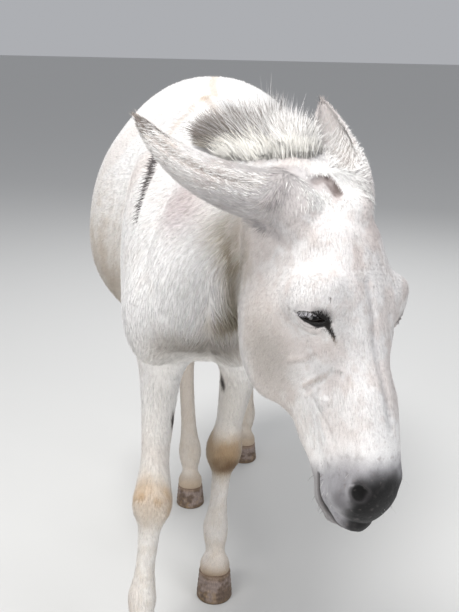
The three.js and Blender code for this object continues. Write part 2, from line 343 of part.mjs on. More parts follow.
// fewer triangles: edges are drawn together in the order of the least harm to the form
function thin({ P, T }, faces, weight = () => 1) {
  const n = P.length, Q = new Float64Array(n * 10), alive = new Uint8Array(T.length).fill(1), ring = Array.from({ length: n }, () => new Set());
  const plane = (t) => { const a = P[t[0]], b = P[t[1]], c = P[t[2]], m = cross(sub(b, a), sub(c, a)), A = len(m); return [A, A > 1e-16 ? mul(m, 1 / A) : [0, 0, 1]]; };
  T.forEach((t, i) => {
    const [A, m] = plane(t), d = -dot(m, P[t[0]]), q = [m[0] * m[0], m[0] * m[1], m[0] * m[2], m[0] * d, m[1] * m[1], m[1] * m[2], m[1] * d, m[2] * m[2], m[2] * d, d * d];
    for (const v of t) { ring[v].add(i); const w = A * weight(P[v]); for (let j = 0; j < 10; j++) Q[v * 10 + j] += q[j] * w; }
  });
  const stamp = new Uint32Array(n), heap = [];
  const up = i => { const x = heap[i]; while (i) { const p = (i - 1) >> 1; if (heap[p].c <= x.c) break; heap[i] = heap[p]; i = p; } heap[i] = x; };
  const down = i => { const x = heap[i], m = heap.length; for (;;) { let k = 2 * i + 1; if (k >= m) break; if (k + 1 < m && heap[k + 1].c < heap[k].c) k++; if (heap[k].c >= x.c) break; heap[i] = heap[k]; i = k; } heap[i] = x; };
  const err = (q, p) => q[0] * p[0] * p[0] + 2 * q[1] * p[0] * p[1] + 2 * q[2] * p[0] * p[2] + 2 * q[3] * p[0] + q[4] * p[1] * p[1] + 2 * q[5] * p[1] * p[2] + 2 * q[6] * p[1] + q[7] * p[2] * p[2] + 2 * q[8] * p[2] + q[9];
  const push = (a, b) => {
    const q = []; for (let j = 0; j < 10; j++) q.push(Q[a * 10 + j] + Q[b * 10 + j]);
    const A = q[0], B = q[1], C = q[2], D = q[4], E = q[5], F = q[7], det = A * (D * F - E * E) - B * (B * F - C * E) + C * (B * E - C * D), tr = A + D + F;
    const mid = mix(P[a], P[b], .5); let p = mid;
    if (Math.abs(det) > 1e-4 * tr * tr * tr) {
      const x = -q[3], y = -q[6], z = -q[8];
      const o = [(x * (D * F - E * E) - B * (y * F - E * z) + C * (y * E - D * z)) / det, (A * (y * F - E * z) - x * (B * F - C * E) + C * (B * z - y * C)) / det, (A * (D * z - y * E) - B * (B * z - y * C) + x * (B * E - C * D)) / det];
      if (len(sub(o, mid)) < 1.2 * len(sub(P[a], P[b]))) p = o;
    }
    let c = err(q, p); const ca = err(q, P[a]), cb = err(q, P[b]); if (ca < c) { c = ca; p = P[a]; } if (cb < c) { c = cb; p = P[b]; }
    const l = len(sub(P[a], P[b])); c = Math.max(c, 0) + 1e-9 * l * l * l * l;
    heap.push({ c, a, b, p, s: stamp[a], t: stamp[b] }); up(heap.length - 1);
  };
  const seen = new Set();
  for (const t of T) for (let j = 0; j < 3; j++) { const a = Math.min(t[j], t[(j + 1) % 3]), b = Math.max(t[j], t[(j + 1) % 3]), k = a * n + b; if (!seen.has(k)) { seen.add(k); push(a, b); } }
  let count = T.length;
  const near = v => { const s = new Set(); for (const i of ring[v]) for (const w of T[i]) if (w !== v) s.add(w); return s; };
  while (count > faces && heap.length) {
    const top = heap[0], last = heap.pop(); if (heap.length) { heap[0] = last; down(0); }
    const { a, b, p } = top; if (stamp[a] !== top.s || stamp[b] !== top.t) continue;
    const na = near(a), nb = near(b); let shared = 0; for (const v of na) if (nb.has(v)) shared++;
    if (shared !== 2) continue;
    let ok = true;
    for (const v of [a, b]) {
      for (const i of ring[v]) {
        const t = T[i]; if (t.includes(a) && t.includes(b)) continue;
        const [A0, n0] = plane(t), q = t.map(w => w === v ? p : P[w]), m = cross(sub(q[1], q[0]), sub(q[2], q[0])), A1 = len(m);
        const e = Math.max(len(sub(q[1], q[0])), len(sub(q[2], q[1])), len(sub(q[0], q[2])));
        if (A1 < 1e-10 || A1 / (e * e) < .06 || (A0 > 1e-12 && dot(m, n0) / A1 < .35)) { ok = false; break; }
      }
      if (!ok) break;
    }
    if (!ok) continue;
    P[a] = p.slice(); for (let j = 0; j < 10; j++) Q[a * 10 + j] += Q[b * 10 + j];
    for (const i of [...ring[b]]) {
      const t = T[i];
      if (t.includes(a)) { alive[i] = 0; count--; for (const w of t) ring[w].delete(i); }
      else { t[t.indexOf(b)] = a; ring[a].add(i); }
    }
    ring[b].clear(); stamp[b] = 0xffffffff; stamp[a]++;
    for (const v of near(a)) { stamp[v] === 0xffffffff || push(Math.min(a, v), Math.max(a, v)); }
  }
  const map = new Map(), V = [], F = [];
  T.forEach((t, i) => { if (!alive[i]) return; F.push(t.map(v => { if (!map.has(v)) { map.set(v, V.length); V.push(P[v]); } return map.get(v); })); });
  return { P: V, T: F };
}

// ---------------------------------------------------------------- joining and cutting
const wasm = await Module(); wasm.setup();
const MM = 1000;
const solid = ({ P, T }) => new wasm.Manifold(new wasm.Mesh({ numProp: 3, vertProperties: new Float32Array(P.flatMap(p => [p[0] * MM, p[1] * MM, p[2] * MM])), triVerts: new Uint32Array(T.flat()) }));
function fromGeometry(g) {
  g.deleteAttribute('normal'); g.deleteAttribute('uv'); g = mergeVertices(g, 1e-4);
  return new wasm.Manifold(new wasm.Mesh({ numProp: 3, vertProperties: new Float32Array(g.attributes.position.array), triVerts: new Uint32Array(g.index.array) }));
}
// a box of the given full sizes (metres) at a place, with its axes along X, Y, Z
function block(size, at, X, Y, Z) {
  const g = new THREE.BoxGeometry(size[0] * MM, size[1] * MM, size[2] * MM);
  if (dot(cross(X, Y), Z) < 0) X = mul(X, -1);
  g.applyMatrix4(new THREE.Matrix4().makeBasis(new THREE.Vector3(...X), new THREE.Vector3(...Y), new THREE.Vector3(...Z)).setPosition(at[0] * MM, at[1] * MM, at[2] * MM));
  return fromGeometry(g);
}
function ball(r, at, X = [1, 0, 0], Y = [0, 1, 0], Z = [0, 0, 1], n = 20) {
  const g = new THREE.SphereGeometry(MM, n, Math.round(n * .6)); if (dot(cross(X, Y), Z) < 0) X = mul(X, -1);
  g.scale(...r); g.applyMatrix4(new THREE.Matrix4().makeBasis(new THREE.Vector3(...X), new THREE.Vector3(...Y), new THREE.Vector3(...Z)).setPosition(at[0] * MM, at[1] * MM, at[2] * MM));
  return fromGeometry(g);
}
// a thin strip lying across the foot of the mane
function strip(c) {
  const P = [], T = [], lean = s => Math.max(dot(s.u, s.n), .4), up = s => add(s.c, mul(s.u, .0065 / lean(s)));
  const pts = c.map(up), first = add(pts[0], [0, .05, .014]), end = add(pts[c.length - 1], add(mul(hd, .03), mul(hz, .03)));
  const line = [first, ...pts, end], wide = [.016, ...c.map(s => s.w / lean(s)), .010].map(v => v + .012), U = [c[0].n, ...c.map(s => s.n), c[c.length - 1].n];
  line.forEach((p, i) => {
    const t = unit(sub(line[Math.min(i + 1, line.length - 1)], line[Math.max(i - 1, 0)])), s = unit(cross(U[i], t)), u = unit(cross(t, s));
    for (const [a, b] of [[-1, -1], [1, -1], [1, 1], [-1, 1]]) P.push(add(p, add(mul(s, a * wide[i]), mul(u, b * GAP * .5))));
  });
  const m = line.length;
  for (let i = 0; i + 1 < m; i++) for (let j = 0; j < 4; j++) { const a = i * 4 + j, b = i * 4 + (j + 1) % 4, c2 = a + 4, d = b + 4; if (j === 2) T.push([a, b, c2], [b, d, c2]); else T.push([a, b, d], [a, d, c2]); }
  T.push([0, 2, 1], [0, 3, 2]); const q = (m - 1) * 4; T.push([q, q + 1, q + 2], [q, q + 2, q + 3]);
  const vol = T.reduce((s, [a, b, c3]) => s + dot(P[a], cross(P[b], P[c3])), 0); if (vol < 0) T.forEach(t => t.reverse());
  return solid({ P, T });
}
const group = new THREE.Group(); group.name = 'donkey';
function put(m, name, color, roughness, metalness = 0) {
  const g = m.getMesh(), geo = new THREE.BufferGeometry();
  geo.setAttribute('position', new THREE.BufferAttribute(new Float32Array(g.vertProperties), 3)); geo.setIndex(new THREE.BufferAttribute(new Uint32Array(g.triVerts), 1));
  const flat = geo.toNonIndexed(); flat.computeVertexNormals();
  const mesh = new THREE.Mesh(flat, new THREE.MeshStandardMaterial({ color, roughness, metalness })); mesh.name = name; group.add(mesh);
  return g.triVerts.length / 3;
}
const centre = m => { const b = m.boundingBox(); return [0, 1, 2].map(j => (b.min[j] + b.max[j]) / 2 / MM); };

const headish = p => { const q = sub(p, HEAD_AT), d = dot(q, hd), z = dot(q, hz), x = dot(q, hx); return d > -.06 && z < .03 && z > -.26 && Math.abs(x) < .13 ? 3.2 : p[2] < .34 ? 2.2 : 1; };
const whole = body(), roots = crest(whole);
let flesh = solid(thin(surface(whole, CELL), BODY_FACES, headish));
const earCut = {};
for (const [side] of SIDES) { flesh = flesh.add(solid(thin(surface(ear(side), EAR_CELL), EAR_FACES))); earCut[side] = earAxis(side); }
flesh = flesh.add(solid(thin(surface(mane(roots), CELL * .8), MANE_FACES)));

// one part at a time is cut free; what is left stays together
const parts = {};
export const report = [];
function free(name, cutter, near) {
  const all = flesh.subtract(cutter).decompose().filter(p => p.volume() > 1500).sort((a, b) => len(sub(centre(a), near)) - len(sub(centre(b), near)));
  const big = all.reduce((m, p) => p.volume() > m.volume() ? p : m, all[0]);
  const mine = all[0] === big ? all[1] : all[0];
  report.push([name, all.length, mine ? +(mine.volume() / 1e6).toFixed(1) : 0, mine ? centre(mine).map(v => +v.toFixed(3)) : 0]);
  if (!mine) return;
  parts[name] = mine; flesh = big;
  for (const p of all) if (p !== mine && p !== big) report.push(['  loose', +(p.volume() / 1e6).toFixed(2), centre(p).map(v => +v.toFixed(3))]);
}
// an ear is cut where it first stands clear of the head and neck all round
for (const [side] of SIDES) {
  const A = earCut[side], w = unit(cross(A.e, A.o)); let t = .08;
  for (; t < .6; t += .01) {
    const c = A.at(t); let low = 1; for (let i = 0; i < 16; i++) { const a = i * Math.PI / 8, p = add(c, add(mul(w, .042 * Math.cos(a)), mul(A.o, .042 * Math.sin(a)))); low = Math.min(low, whole.at(...p, .03)); }
    if (low > .003 && whole.at(...c, .03) > .003) break;
  }
  report.push(['ear cut', side, t]);
  free('ear_' + side, block([.105, .105, GAP], A.at(t), w, A.o, A.e), A.at(.6));
}
free('mane', strip(roots), add(roots[4].c, [0, 0, .05]));
{
  const n = unit([.61, -.77, .19]), x = unit(cross(n, [0, 0, 1])), q = unit(cross(x, n));
  free('head', block([.34, .52, GAP], [.10, -.285, .90], x, q, n), onHead([0, .2, -.1]));
}
{
  const q = unit([0, .23, .40]), n = cross([1, 0, 0], q);
  free('neck', block([.50, .66, GAP], [0, -.13, .875], [1, 0, 0], q, n), [.08, -.2, .85]);
}
for (const [side, s] of SIDES) free('foreleg_' + side, block([.17, .26, GAP], [s * .0865, FORE[side].elbow[1] - .01, .535], [1, 0, 0], [0, 1, 0], [0, 0, 1]), [s * .07, -.08, .3]);
for (const [side, s] of SIDES) {
  const q = unit([0, 1, .372]), n = cross([1, 0, 0], q);
  free('hindleg_' + side, block([.26, .52, GAP], [s * .132, .615, .540], [1, 0, 0], q, n), [s * .08, .7, .3]);
}
free('tail', block([.12, .12, GAP], [0, .868, .955], [1, 0, 0], unit([0, .6, .8]), unit([0, .8, -.6])), [0, .89, .65]);
parts.trunk = flesh;

// eyes, their sockets and the openings between the lids
const eyes = {};
for (const [side, s] of SIDES) {
  const at = onHead([s * EYE_AT[0], EYE_AT[1], EYE_AT[2]]), n = headDir(unit([s * .84, .02, .54])), t = headDir(unit([-s * .54, 0, .84]));
  const along = unit(add(mul(t, .907), mul(hd, .419))), across = unit(cross(n, along));
  eyes[side] = ball([EYE_R, EYE_R, EYE_R], at, along, across, n, 14);
  parts.head = parts.head.subtract(ball([EYE_R + .0006, EYE_R + .0006, EYE_R + .0006], at, along, across, n, 14));
  parts.head = parts.head.subtract(ball(EYE_SLIT, add(at, mul(n, .012)), along, across, n, 16));
}
// each leg ends flat on top of its hoof
for (const [side] of SIDES) for (const [k, j] of [['foreleg_', FORE[side]], ['hindleg_', HIND[side]]]) {
  const co = mix(j.fetlock, j.foot, CORONET), top = co[2] - .0045 + .0003;
  if (parts[k + side]) parts[k + side] = parts[k + side].subtract(block([.14, .16, .10], [co[0], co[1], top - .05], [1, 0, 0], [0, 1, 0], [0, 0, 1]));
}

const COAT = 0xe4ddd2, EARC = 0xcfc8c0, MUZ = 0xd8d1c8, HOOF = 0x5a4a40, EYEC = 0x17110f, MANEC = 0xbdb5ab;
const GREY = { ear_right: EARC, ear_left: EARC, mane: MANEC, head: MUZ };
let total = 0;
for (const k of ['trunk', 'neck', 'head', 'mane', 'ear_right', 'ear_left', 'foreleg_right', 'foreleg_left', 'hindleg_right', 'hindleg_left', 'tail']) if (parts[k]) total += put(parts[k], k, GREY[k] || COAT, .92);
for (const [side] of SIDES) total += put(eyes[side], 'eye_' + side, EYEC, .12);
// hooves: leaning cones with a flat sole, toe forward
function hoof(j, r) {
  const co = mix(j.fetlock, j.foot, CORONET), h = co[2] - .0045, N = 18, rows = [[0, 1, .97], [.006 / h, 1.0, 1.0], [.5, .93, 1], [.90, .865, 1], [1, .80, 1]], P = [], T = [];
  for (const [t, k] of rows) for (let i = 0; i < N; i++) {
    const a = 2 * Math.PI * i / N, c = Math.cos(a), s = Math.sin(a), heel = s > 0 ? (1.02 - .10 * t) / (1 - .14 * t) : (1.20 - .16 * t) / (1 - .14 * t), e = t === 0 ? .985 : 1;
    P.push([j.foot[0] + (co[0] - j.foot[0]) * t + r * k * e * c, j.foot[1] + (co[1] - j.foot[1]) * t + r * k * e * s * heel, h * t]);
  }
  const m = rows.length; P.push([j.foot[0], j.foot[1], 0], [co[0], co[1], h]);
  for (let q = 0; q + 1 < m; q++) for (let i = 0; i < N; i++) { const a = q * N + i, b = q * N + (i + 1) % N; T.push([a, b, b + N], [a, b + N, a + N]); }
  for (let i = 0; i < N; i++) { T.push([m * N, (i + 1) % N, i]); T.push([m * N + 1, (m - 1) * N + i, (m - 1) * N + (i + 1) % N]); }
  return { s: solid({ P, T }), h };
}
for (const [side] of SIDES) for (const [kind, set, r] of [['fore', FORE, FORE_HOOF_R], ['hind', HIND, HIND_HOOF_R]]) {
  const { s } = hoof(set[side], r); total += put(s, `hoof_${kind}_${side}`, HOOF, .62);
}
export const triangles = total;
// the origin is the middle of the footprint, on the ground
const bound = new THREE.Box3().setFromObject(group), mid = bound.getCenter(new THREE.Vector3());
export const shift = [mid.x, mid.y, bound.min.z];
for (const m of group.children) m.geometry.translate(-mid.x, -mid.y, -bound.min.z);
export default group;
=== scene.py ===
import bpy, math, time
import numpy as np
from mathutils import Matrix, Vector
from concurrent.futures import ThreadPoolExecutor


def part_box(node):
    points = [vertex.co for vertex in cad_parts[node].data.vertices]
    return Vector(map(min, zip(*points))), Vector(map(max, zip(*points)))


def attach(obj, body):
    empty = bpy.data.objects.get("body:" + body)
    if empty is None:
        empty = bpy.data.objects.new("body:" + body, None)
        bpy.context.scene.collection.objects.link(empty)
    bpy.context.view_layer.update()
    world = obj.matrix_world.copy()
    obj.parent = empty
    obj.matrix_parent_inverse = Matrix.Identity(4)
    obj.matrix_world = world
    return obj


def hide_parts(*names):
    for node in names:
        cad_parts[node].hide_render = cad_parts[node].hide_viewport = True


T0 = time.time()
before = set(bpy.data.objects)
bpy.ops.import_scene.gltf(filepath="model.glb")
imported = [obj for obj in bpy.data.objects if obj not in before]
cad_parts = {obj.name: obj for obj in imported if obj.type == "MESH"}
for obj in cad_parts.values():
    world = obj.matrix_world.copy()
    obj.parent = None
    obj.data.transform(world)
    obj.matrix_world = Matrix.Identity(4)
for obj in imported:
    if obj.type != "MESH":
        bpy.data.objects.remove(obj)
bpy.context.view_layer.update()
rng = np.random.default_rng(20)

# =====================================================================  the animal's sizes (metres; it faces -Y, its left is +X)
TRUNK = [(-.21, .90, .76, .665, .085, 2.0, -.010), (-.13, .985, .75, .620, .118, 2.1, -.010), (-.03, 1.058, .74, .588, .128, 2.1, -.006),
         (.07, 1.078, .735, .566, .138, 2.1, -.004), (.18, 1.068, .735, .548, .192, 2.1, -.004), (.30, 1.060, .74, .530, .254, 2.1, -.006),
         (.42, 1.068, .745, .522, .277, 2.1, -.006), (.53, 1.087, .77, .545, .268, 2.1, -.004), (.62, 1.103, .79, .600, .243, 2.1, 0),
         (.70, 1.078, .815, .675, .194, 2.1, 0)]
NECK = [(-.008, .06, .86, .105, .18, .20, 2), (.005, -.08, .865, .097, .168, .19, 2), (.045, -.19, .876, .090, .146, .165, 2),
        (.105, -.275, .893, .082, .134, .14, 2), (.160, -.335, .912, .074, .118, .115, 2), (.205, -.365, .925, .065, .090, .09, 2)]
HEAD_AT = np.array([.245, -.422, .992])
SKULL = [(-.035, -.105, .048, .045, .055, 2.0), (0, -.100, .062, .056, .070, 2.1), (.05, -.094, .070, .078, .080, 2.3),
         (.10, -.080, .077, .078, .085, 2.5), (.155, -.068, .084, .067, .085, 2.6), (.20, -.068, .072, .065, .080, 2.6),
         (.25, -.070, .055, .062, .070, 2.4), (.30, -.072, .057, .065, .062, 2.5), (.35, -.074, .053, .062, .054, 2.5),
         (.395, -.078, .053, .059, .046, 2.4), (.430, -.086, .054, .054, .040, 2.3), (.452, -.096, .047, .042, .034, 2.2),
         (.465, -.104, .032, .028, .026, 2.0)]
JAW = [(.045, -.138, .056, .05, .088, 2.4), (.10, -.150, .066, .05, .104, 2.7), (.16, -.155, .069, .05, .112, 2.8),
       (.210, -.153, .066, .05, .122, 2.8), (.250, -.148, .059, .045, .110, 2.7), (.280, -.142, .049, .038, .078, 2.4),
       (.305, -.138, .042, .034, .060, 2.2), (.345, -.133, .036, .029, .052, 2.2), (.375, -.130, .034, .026, .042, 2.2),
       (.41, -.130, .035, .023, .031, 2.2), (.445, -.134, .035, .020, .027, 2.2),
       (.466, -.136, .024, .014, .018, 2.0)]
EYE_AT, EYE_R = np.array([.0815, .1798, -.0558]), .0195
FORE = {'R': dict(el=(-.080, -.015, .585), kn=(-.088, -.12, .328), ft=(-.106, -.148, .138), hf=(-.109, -.192, 0)),
        'L': dict(el=(.078, .02, .585), kn=(.044, .105, .340), ft=(.029, .122, .148), hf=(.029, .088, 0))}
HIND = {'R': dict(hip=(-.105, .68, .86), el=(-.118, .53, .66), kn=(-.077, .675, .43), ft=(-.051, .560, .125), hf=(-.047, .522, 0)),
        'L': dict(hip=(.105, .70, .86), el=(.115, .60, .66), kn=(.103, .825, .43), ft=(.093, .838, .122), hf=(.092, .805, 0))}
FORE_GIRTH = [('arm', 0, .050, .060, .068, 2), ('arm', .22, .041, .050, .049, 2), ('arm', .50, .0325, .039, .037, 2),
              ('arm', .74, .0300, .0315, .033, 2), ('arm', .90, .0365, .033, .036, 2.3), ('arm', 1, .0400, .0365, .039, 2.6),
              ('shin', .12, .0365, .034, .038, 2.5), ('shin', .26, .0250, .0240, .032, 2.1), ('shin', .46, .0210, .0205, .030, 2),
              ('shin', .72, .0208, .0205, .031, 2), ('shin', .88, .0245, .0235, .035, 2), ('shin', 1, .0285, .0265, .040, 2.1),
              ('pastern', .27, .0265, .0245, .036, 2), ('pastern', .60, .0225, .0225, .027, 2), ('pastern', .86, .0325, .0330, .0305, 2),
              ('pastern', 1, .0340, .0360, .0325, 2.1)]
HIND_GIRTH = [('thigh', .45, .084, .135, .135, 2), ('thigh', .90, .072, .100, .120, 2), ('arm', .25, .056, .066, .085, 2),
              ('arm', .55, .040, .043, .054, 2), ('arm', .84, .030, .032, .042, 2.1), ('arm', 1, .0335, .038, .042, 2.3),
              ('shin', .16, .0305, .032, .034, 2.2), ('shin', .36, .0225, .0225, .031, 2), ('shin', .66, .0205, .0205, .031, 2),
              ('shin', .86, .0235, .0225, .034, 2), ('shin', 1, .0300, .0270, .040, 2.1), ('pastern', .27, .0270, .0245, .035, 2),
              ('pastern', .60, .0215, .0215, .026, 2), ('pastern', .86, .0310, .0315, .0290, 2), ('pastern', 1, .0325, .0340, .0310, 2.1)]
CORONET = .60
FACING = np.array([.07, -1.86, 1.22])
EAR = {'R': dict(base=(-.070, -.005, -.102), tip=(-.100, -.284, 1.077), sag=-.030, turn=12),
       'L': dict(base=(.024, .004, -.054), tip=(.203, -.098, 1.094), sag=0, turn=4)}
EAR_SKIN = .007
EAR_GIRTH = {
    'R': [(-.12, .036, .034, .036, 0, .0028), (0, .038, .036, .038, 0, .0028), (.10, .039, .036, .038, 0, .0030), (.22, .038, .034, .036, 0, .0034),
          (.38, .034, .030, .033, 0, .0034), (.55, .029, .025, .028, 0, .0034), (.72, .022, .018, .021, 0, .0036), (.86, .015, .011, .014, -.002, .0036),
          (.96, .0075, .005, .008, -.004, .002), (1, .004, .003, .004, -.005, .001)],
    'L': [(-.12, .036, .034, .036, 0, .004), (0, .040, .036, .038, 0, .008), (.10, .044, .034, .038, 0, .020), (.25, .045, .026, .036, 0, .028),
          (.42, .039, .018, .031, 0, .026), (.60, .031, .013, .025, 0, .020), (.76, .023, .009, .018, 0, .014), (.88, .0145, .006, .012, -.002, .007),
          (.96, .008, .004, .008, -.004, .002), (1, .004, .003, .004, -.005, .001)]}
MANE = [(-.10, .016, .012, (-.62, .62, .48)), (-.14, .056, .018, (-.62, .60, .50)), (-.185, .080, .023, (-.60, .50, .58)),
        (-.235, .092, .026, (-.54, .42, .68)), (-.285, .090, .026, (-.33, .28, .90)), (-.322, .070, .022, (-.02, .07, 1)),
        (-.350, .024, .014, (.05, 0, 1))]
TAIL = [(.79, .992, .028), (.838, .976, .027), (.879, .935, .024), (.904, .860, .020), (.908, .76, .017), (.902, .68, .014), (.903, .60, .012),
        (.904, .51, .010), (.904, .43, .007)]

# =====================================================================  distance functions
F = np.float64
def unit(v):
    v = np.asarray(v, F); return v / np.maximum(np.linalg.norm(v, axis=-1, keepdims=True), 1e-12)
def smin(a, b, k):
    if k <= 0: return np.minimum(a, b)
    h = np.maximum(k - np.abs(a - b), 0) / k
    return np.minimum(a, b) - h * h * k * .25
def step(a, b, x):
    t = np.clip((x - a) / (b - a), 0, 1); return t * t * (3 - 2 * t)
def fine(st, sub):
    st = np.asarray(st, F); n = len(st); seg = np.linalg.norm(np.diff(st[:, :3], axis=0), axis=1)
    d = np.diff(st, axis=0) / seg[:, None]; m = np.zeros_like(st); m[0] = d[0]; m[-1] = d[-1]
    for i in range(1, n - 1): m[i] = (d[i - 1] * seg[i] + d[i] * seg[i - 1]) / (seg[i - 1] + seg[i])
    out = []
    for i in range(n - 1):
        h = seg[i]
        for j in range(sub):
            t = j / sub; t2, t3 = t * t, t ** 3
            out.append((2 * t3 - 3 * t2 + 1) * st[i] + (t3 - 2 * t2 + t) * h * m[i] + (-2 * t3 + 3 * t2) * st[i + 1] + (t3 - t2) * h * m[i + 1])
    out.append(st[-1]); return np.array(out)
class Loft:
    def __init__(s, st, up, sub=5, cap=1.0):
        up = np.asarray(up, F); r = fine(st, sub); s.c = r[:, :3]; s.R = np.maximum(r[:, 3:7], 1e-3)
        T = unit(np.gradient(s.c, axis=0))
        if up.ndim == 1: U = np.repeat(up[None], len(T), 0)
        else: ti = np.arange(len(T)) / sub; U = np.stack([np.interp(ti, np.arange(len(up)), up[:, j]) for j in range(3)], 1)
        s.D = unit(U - (U * T).sum(1, keepdims=True) * T); s.L = np.cross(T, s.D); s.cap = cap
        rr = s.R[:, :3].max(1)[:, None]; s.lo = (s.c - rr).min(0); s.hi = (s.c + rr).max(0)
    def __call__(s, P):
        m = len(s.c) - 1; best = np.full(len(P), 1e18); bi = np.zeros(len(P), int); bt = np.zeros(len(P)); ov = np.zeros(len(P))
        for i in range(m):
            a = s.c[i]; ab = s.c[i + 1] - a; l2 = ab @ ab; Q = P - a; t = (Q @ ab) / l2; tc = np.clip(t, 0, 1)
            d2 = np.einsum('ij,ij->i', Q, Q) - tc * (2 * t - tc) * l2; u = d2 < best
            best[u] = d2[u]; bi[u] = i; bt[u] = tc[u]
            if i == 0: ov[u] = np.minimum(t, 0)[u] * np.sqrt(l2)
            elif i == m - 1: ov[u] = np.maximum(t - 1, 0)[u] * np.sqrt(l2)
            else: ov[u] = 0
        w = bt[:, None]; lp = lambda A: A[bi] + w * (A[bi + 1] - A[bi])
        q = P - lp(s.c); R = lp(s.R); u = np.einsum('ij,ij->i', q, lp(s.L)); v = np.einsum('ij,ij->i', q, lp(s.D))
        wd = R[:, 0]; r = np.where(v > 0, R[:, 1], R[:, 2]); n = R[:, 3]; cz = s.cap * np.minimum(wd, np.minimum(R[:, 1], R[:, 2]))
        x = np.maximum(np.abs(u) / wd, 1e-6); y = np.maximum(np.abs(v) / r, 1e-6); z = np.abs(ov) / cz
        xn = x ** (n - 1); yn = y ** (n - 1); zn = np.where(z > 0, np.maximum(z, 1e-9) ** (n - 1), 0)
        S = xn * x + yn * y + zn * z; f = S ** (1 / n); g = f / S
        return (f - 1) / np.maximum(g * np.sqrt((xn / wd) ** 2 + (yn / r) ** 2 + (zn / cz) ** 2), 1e-3)
class Ell:
    def __init__(s, c, r, M=None):
        s.c = np.asarray(c, F); s.r = np.asarray(r, F); s.M = np.eye(3) if M is None else np.asarray(M, F)
        e = np.abs(s.M) @ s.r; s.lo = s.c - e; s.hi = s.c + e
    def __call__(s, P):
        q = (P - s.c) @ s.M; k0 = np.linalg.norm(q / s.r, axis=1); k1 = np.linalg.norm(q / (s.r * s.r), axis=1)
        return k0 * (k0 - 1) / np.maximum(k1, 1e-9)
class Cone:
    def __init__(s, a, b, ra, rb):
        s.a = np.asarray(a, F); s.b = np.asarray(b, F); s.ra = ra; s.rb = rb
        s.lo = np.minimum(s.a - ra, s.b - rb); s.hi = np.maximum(s.a + ra, s.b + rb)
    def __call__(s, P):
        ab = s.b - s.a; t = np.clip(((P - s.a) @ ab) / (ab @ ab), 0, 1)
        return np.linalg.norm(P - s.a - t[:, None] * ab, axis=1) - (s.ra + t * (s.rb - s.ra))
class Two:
    def __init__(s, a, b, k): s.a, s.b, s.k = a, b, k; s.lo = np.minimum(a.lo, b.lo); s.hi = np.maximum(a.hi, b.hi)
    def __call__(s, P): return smin(s.a(P), s.b(P), s.k)
class Fn:
    def __init__(s, f, lo, hi): s.f = f; s.lo = np.asarray(lo, F); s.hi = np.asarray(hi, F)
    def __call__(s, P): return s.f(P)
class Shape:
    def __init__(s): s.ops = []
    def add(s, p, k=.02): s.ops.append(('add', p, k)); return s
    def sub(s, p, k=.01): s.ops.append(('sub', p, k)); return s
    def push(s, c, r, amp, M=None): s.ops.append(('push', np.asarray(c, F), np.asarray(r, F), np.eye(3) if M is None else np.asarray(M, F), amp)); return s
    def groove(s, pts, rad, amp): s.ops.append(('groove', np.asarray(pts, F), rad, amp)); return s
    def shift(s, f): s.ops.append(('shift', f)); return s
    def __call__(s, P, band=.05):
        P = np.asarray(P, F); d = np.full(len(P), .5)
        for op in s.ops:
            if op[0] in ('add', 'sub'):
                pr, k = op[1], op[2]; m = band + k + .02; idx = np.nonzero(((P > pr.lo - m) & (P < pr.hi + m)).all(1))[0]
                if not len(idx): continue
                v = pr(P[idx]); d[idx] = smin(d[idx], v, k) if op[0] == 'add' else -smin(-d[idx], v, k)
            elif op[0] == 'push':
                c, r, M, amp = op[1:]; e = (np.abs(M) @ r) * 2.4; idx = np.nonzero((np.abs(P - c) < e).all(1))[0]
                if not len(idx): continue
                q = ((P[idx] - c) @ M) / r; d[idx] -= amp * np.exp(-(q * q).sum(1))
            elif op[0] == 'groove':
                pts, rad, amp = op[1:]; m = 2.4 * rad; idx = np.nonzero(((P > pts.min(0) - m) & (P < pts.max(0) + m)).all(1))[0]
                if not len(idx): continue
                Q = P[idx]; best = np.full(len(Q), 1e9)
                for a, b in zip(pts[:-1], pts[1:]):
                    ab = b - a; t = np.clip(((Q - a) @ ab) / (ab @ ab), 0, 1); best = np.minimum(best, ((Q - a - t[:, None] * ab) ** 2).sum(1))
                d[idx] -= amp * np.exp(-best / (rad * rad))
            else: d = d + op[1](P)
        return d
    def box(s):
        a = [o[1] for o in s.ops if o[0] == 'add']; return np.min([p.lo for p in a], 0), np.max([p.hi for p in a], 0)
POOL = ThreadPoolExecutor(4)
def many(f, P):
    if len(P) < 4000: return f(P)
    n = max(4, len(P) // 20000); return np.concatenate(list(POOL.map(f, np.array_split(P, n))))

# =====================================================================  head frame
HA = np.array([[.733, .147, .664], [.663, -.371, -.65], [-.151, -.917, .37]])
hd = unit(HA[:, 1]); hx = unit(HA[:, 0] - (HA[:, 0] @ hd) * hd); hz = np.cross(hx, hd); hz = hz * np.sign(hz @ HA[:, 2])
HM = np.stack([hx, hd, hz], 1)
def h2w(p): return HEAD_AT + np.asarray(p, F) @ HM.T
def hdir(v): return unit(np.asarray(v, F) @ HM.T)
def w2h(P): return (np.asarray(P, F) - HEAD_AT) @ HM
def rot(ax, deg):
    a = np.radians(deg); c, s = np.cos(a), np.sin(a)
    return np.array({'x': [[1, 0, 0], [0, c, -s], [0, s, c]], 'y': [[c, 0, s], [0, 1, 0], [-s, 0, c]], 'z': [[c, -s, 0], [s, c, 0], [0, 0, 1]]}[ax])
def limb(j, girth, top):
    j = {k: np.array(v, F) for k, v in j.items()}; co = j['ft'] + (j['hf'] - j['ft']) * CORONET
    leg = dict(thigh=(j.get('hip', j['el']), j['el']), arm=(j['el'], j['kn']), shin=(j['kn'], j['ft']), pastern=(j['ft'], co))
    rows = [top] + [(*(leg[p][0] + (leg[p][1] - leg[p][0]) * t), *s) for p, t, *s in girth]
    rows.append((*(co + (j['hf'] - co) * .30), .030, .030, .028, 2.1))          # goes on down inside the hoof
    return Loft(rows, (0, -1, 0), cap=.35)
